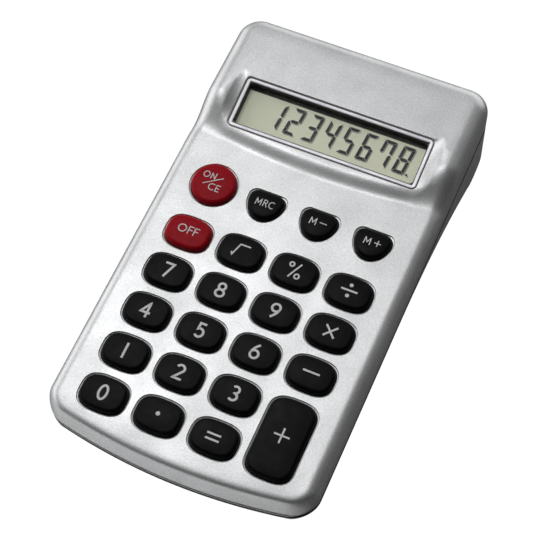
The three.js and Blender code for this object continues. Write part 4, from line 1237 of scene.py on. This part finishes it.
def digits_mesh(shift, z, thickness):
    """All the digits that the display shows, as thin plates over the glass."""
    shapes, skin = segment_outlines(), Skin()
    for place, digit in enumerate("12345678"):
        middle_x = LAST_DIGIT[0] - (7 - place) * DIGIT_PITCH
        for letter in SEGMENTS[digit]:
            bar_points = [(px + py * SLANT, py) for px, py in shapes[letter]]
            around = zip(bar_points, bar_points[1:] + bar_points[:1])
            if sum(a[0] * b[1] - b[0] * a[1] for a, b in around) < 0:
                bar_points.reverse()
            flat = [(middle_x + px + shift[0], LAST_DIGIT[1] + py + shift[1]) for px, py in bar_points]
            under, over = skin.chain(slab(flat, z - thickness, z))
            skin.faces += [tuple(over), tuple(reversed(under))]
    x = LAST_DIGIT[0] + DIGIT_SIZE[0] / 2 + 0.45 + shift[0]
    y = LAST_DIGIT[1] - DIGIT_SIZE[1] / 2 + 0.25 + shift[1]
    skin.lump(slab(box_corners(x, y, POINT_SIZE / 2, POINT_SIZE / 2), z - thickness, z))
    return new_mesh(skin.points, skin.faces, DISPLAY)


def box_corners(x, y, half_x, half_y):
    return [(x + sx * half_x, y + sy * half_y) for sx, sy in ((-1, -1), (1, -1), (1, 1), (-1, 1))]


def display_digits():
    length, near, far = SHADOW_STRIP
    flat = box_corners(0, (near + far) / 2, length / 2, (far - near) / 2)
    # A painted shadow: a dark strip across the top of the crystal, under the bezel's top bar.
    give(display_lump("glass_border", slab(flat, LCD_FACE, LCD_FACE + 0.05), PAINTED_BEZEL_SHADOW), "case", "lcd_glass")
    # The digits, and under them a painted shade: a copy of them, a little darker than the glass, shifted down
    # and to the right.
    for name, shift, rise, thickness, finish in (
        ("digit_shades", SHADE_SHIFT, 0.012, 0.03, SEGMENT_SHADE),
        ("digits", (0, 0), 0.03, 0.05, SEGMENT),
    ):
        mesh = digits_mesh(shift, LCD_FACE + rise, thickness)
        give(new_object(name, mesh, finish), "case", "lcd_glass")


# ---- Underside --------------------------------------------------------------------------------------------
def screw_mesh():
    """A pan-head screw pointing up, with a cross recess in its head."""
    body = turned([(0.9, -1.0), (1.35, -0.97), (1.65, -0.8), (1.8, -0.5), (1.8, -0.08), (1.72, 0), (1.0, 0.0),
                   (1.0, 3.4), (0.5, 4.2)], 32)
    for turn in (0, math.pi / 2):
        tool = box_mesh((-1.0, -0.19, -1.5), (1.0, 0.19, -0.55), Matrix.Rotation(turn, 4, "Z"))
        body = boolean(body, tool, "DIFFERENCE")
    return body


def underside_pieces(setting_out, rib_row):
    points = [(x, y, seat - GAP) for x, y, seat in [*FRONT_SCREWS, *REAR_SCREWS]]
    screws = set_out(setting_out, "case_screws", screw_mesh(), points, ZINC)
    screws.data.transform(KEYPAD)
    give(screws, "case", "steel", *(f"case_screw_{i}" for i in range(1, 5)))

    for end in ("front", "rear"):
        names = [f"foot_{end}_{side}" for side in ("left", "right")]
        boxes = [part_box(name) for name in names]
        radius = (boxes[0][1].x - boxes[0][0].x) * 500
        top = max(b[1].z for b in boxes) * 1000 + 0.25
        profile = [(radius * 0.3, 0.12), (radius * 0.42, 0.0), (radius - 0.35, 0.0), (radius - 0.1, 0.1),
                   (radius, 0.35), (radius, top)]
        places = [((b[0] + b[1]) * 500).to_2d().to_3d() for b in boxes]
        feet = set_out(setting_out, f"{end}_feet", turned(profile, 40), places, FOOT_RUBBER)
        feet.data.transform(MM)
        give(feet, "case", "foot_rubber", *names)

    ribs = grown(rib_row, {"Count": 7, "Spacing": 1.5, "Length": 15.0, "Radius": 0.42, "Finish": SILVER})
    ramp_z = float(bottom_height(np.array([0.0]), np.array([RIBS_MIDDLE]))[0])
    slope = math.atan(2 * RAMP_CURVE * (RIBS_MIDDLE - RAMP_START))
    place = KEYPAD @ Matrix.Translation((0, RIBS_MIDDLE, ramp_z)) @ Matrix.Rotation(-slope, 4, "X")
    ribs.transform(place @ Matrix.Translation((0, -3.0, 0.12)))
    piece = new_object("door_ribs", ribs, SILVER)
    give(piece, "battery_door", "silver_paint")


# ---- Building ---------------------------------------------------------------------------------------------
give(upper_shell(), "case", "silver_paint", "upper_case")
skin_mesh = lower_skin()
door = new_object("door_panel", boolean(skin_mesh, door_block(0), "INTERSECT"), SILVER, sharp=38)
give(door, "battery_door", "silver_paint", "battery_door")
give(lower_shell(skin_mesh), "case", "silver_paint", "lower_case")
seam_tongue()
for key in KEYS:
    key_cap(*key)
    symbol(*key)
display_frame()
display_digits()
underside_pieces(setting_out_tree(), rib_row_tree())


# ---- Stage, lights and camera -----------------------------------------------------------------------------
def pale_stage(name, colour, glow):
    made, tree, shader, place = blank(name)
    set_shader(
        tree, shader,
        Base_Color=linear(colour),
        Roughness=0.9,
        Specular_IOR_Level=0.0,
        Emission_Color=(1.0, 1.0, 1.0, 1.0),
        Emission_Strength=glow,
    )
    return made


def table_with_painted_shadow():
    """White laminate with painted shadow: darker along the bowed front edge and on the side away from the
    light, where the case's shadow would fall.
    """
    made, tree, shader, place = blank("white_laminate_painted_shadow")
    where = add(tree, "ShaderNodeSeparateXYZ", {"Vector": place}).outputs
    right_side_shadow = add(tree, "ShaderNodeMapRange", {"Value": where["X"], "From Min": 0.028, "From Max": 0.042})
    squared = add(tree, "ShaderNodeMath", {0: where["X"], 1: where["X"]}, operation="MULTIPLY").outputs[0]
    bowed = FRONT_BOW / HALF_WIDTH**2 * 1000
    edge = add(tree, "ShaderNodeMath", {0: squared, 1: bowed, 2: cad_low.y}, operation="MULTIPLY_ADD")
    behind = add(tree, "ShaderNodeMath", {0: where["Y"], 1: edge.outputs[0]}, operation="SUBTRACT").outputs[0]
    under = add(tree, "ShaderNodeMapRange", {"Value": behind, "From Min": -0.003, "From Max": -0.0012})
    share = add(tree, "ShaderNodeMath", {0: right_side_shadow.outputs[0], 1: under.outputs[0]}, operation="MAXIMUM")
    # Painted shadow: the colour and its glow turn dark grey in these two places.
    colour = between(tree, share.outputs[0], "#ececec", "#5a5a5a")
    set_shader(
        tree, shader,
        Base_Color=colour,
        Roughness=0.8,
        Specular_IOR_Level=0.0,
        Emission_Color=colour,
        Emission_Strength=0.44,
    )
    return made


def floor_of(name, radius, wall, finish):
    """A round floor at table height. A wall above zero curves up round it into a backdrop."""
    skin = Skin()
    angles = np.linspace(0, 2 * math.pi, 96, endpoint=False)
    section = [(radius * s, 0) for s in (0.2, 0.5, 0.8)]
    if wall:
        turns = np.radians([20, 40, 60, 80, 90])
        section += [(radius * (0.8 + 0.2 * math.sin(a)), radius * 0.2 * (1 - math.cos(a))) for a in turns]
        section += [(radius, wall)]
    loops = [[(r * math.cos(a), r * math.sin(a), z - 0.0002) for a in angles] for r, z in section]
    first, _ = skin.chain(loops)
    skin.cap(first, flip=True)
    mesh = new_mesh(skin.points, [tuple(reversed(f)) for f in skin.faces], Matrix.Identity(4))
    made = new_object(name, mesh, finish)
    return made


# The paper is what the camera sees, the laminate is what the case reflects.
backdrop = floor_of("paper_sweep", 4.0, 6.0, pale_stage("pale_floor_paper", "#f2f2f2", 1.0))
backdrop.visible_diffuse = backdrop.visible_glossy = backdrop.visible_transmission = False
backdrop.visible_shadow = False
table = floor_of("table_top", 1.0, 0, table_with_painted_shadow())
table.visible_camera = False


def softbox(name, place, target, size, power):
    """A rectangular studio light that faces a point."""
    data = bpy.data.lights.new(name, "AREA")
    data.shape = "RECTANGLE"
    data.size, data.size_y = size
    data.energy = power
    lamp = bpy.data.objects.new(name, data)
    lamp.location = place
    lamp.rotation_euler = (Vector(target) - Vector(place)).to_track_quat("-Z", "Y").to_euler()
    bpy.context.scene.collection.objects.link(lamp)


middle = ((cad_low + cad_high) / 2)[:]
softbox("overhead_left", (-0.28, 0.15, 0.94), middle, (0.42, 0.32), 1.92)


def studio_surround(base, glows):
    """Dim walls with soft glows: each has a direction in the keypad's frame, a half angle and a strength."""
    made = bpy.data.worlds.new("studio")
    made.use_nodes = True
    tree = made.node_tree
    tree.nodes.clear()
    way = add(tree, "ShaderNodeTexCoord").outputs["Generated"]
    total = add(tree, "ShaderNodeValue").outputs[0]
    total.default_value = base
    for direction, reach, strength in glows:
        aim = (KEYPAD.to_3x3() @ Vector(direction)).normalized()
        facing = add(tree, "ShaderNodeVectorMath", {0: way, 1: aim}, operation="DOT_PRODUCT").outputs["Value"]
        glow = add(tree, "ShaderNodeMapRange", {
            "Value": facing, "From Min": math.cos(math.radians(reach)), "From Max": 1.0, "To Min": 0.0,
            "To Max": strength}, interpolation_type="SMOOTHSTEP")
        total = add(tree, "ShaderNodeMath", {0: total, 1: glow.outputs["Result"]}, operation="ADD").outputs[0]
    light = add(tree, "ShaderNodeBackground", {"Color": (1.0, 1.0, 1.0, 1.0), "Strength": total})
    add(tree, "ShaderNodeOutputWorld", {"Surface": light.outputs["Background"]})
    return made


bpy.context.scene.world = studio_surround(0.02, [
    ((-0.17, 0.22, 0.95), 34, 0.33),  # overhead, a little to the left
    ((-1.0, 0.12, 0.2), 50, 2.0),  # wall along the left side
    ((0.1, 1.0, 0.15), 50, 1.45),  # wall behind the back edge
])
bpy.context.scene.view_settings.view_transform = "Standard"

# The camera stands in front of the keypad's right side and looks down on it, turned a little on its axis.
CAMERA_PLACE = Vector((83.9, -132.8, 334.1))  # in the keypad's frame, as the aim is
CAMERA_AIM = Vector((1.28, 22.13, 0.0))
CAMERA_ROLL = math.radians(-4.81)

camera_data = bpy.data.cameras.new("camera")
camera_data.sensor_width = 36.0
camera_data.lens = 101.93
camera_data.clip_start = 0.01
camera_data.clip_end = 20.0
camera = bpy.data.objects.new("camera", camera_data)
bpy.context.scene.collection.objects.link(camera)
stance = Matrix.Translation(CAMERA_PLACE)
stance @= (CAMERA_AIM - CAMERA_PLACE).to_track_quat("-Z", "Y").to_matrix().to_4x4()
stance @= Matrix.Rotation(CAMERA_ROLL, 4, "Z")
camera.location, turn, _ = (KEYPAD @ stance).decompose()
camera.rotation_mode = "QUATERNION"
camera.rotation_quaternion = turn
bpy.context.scene.camera = camera
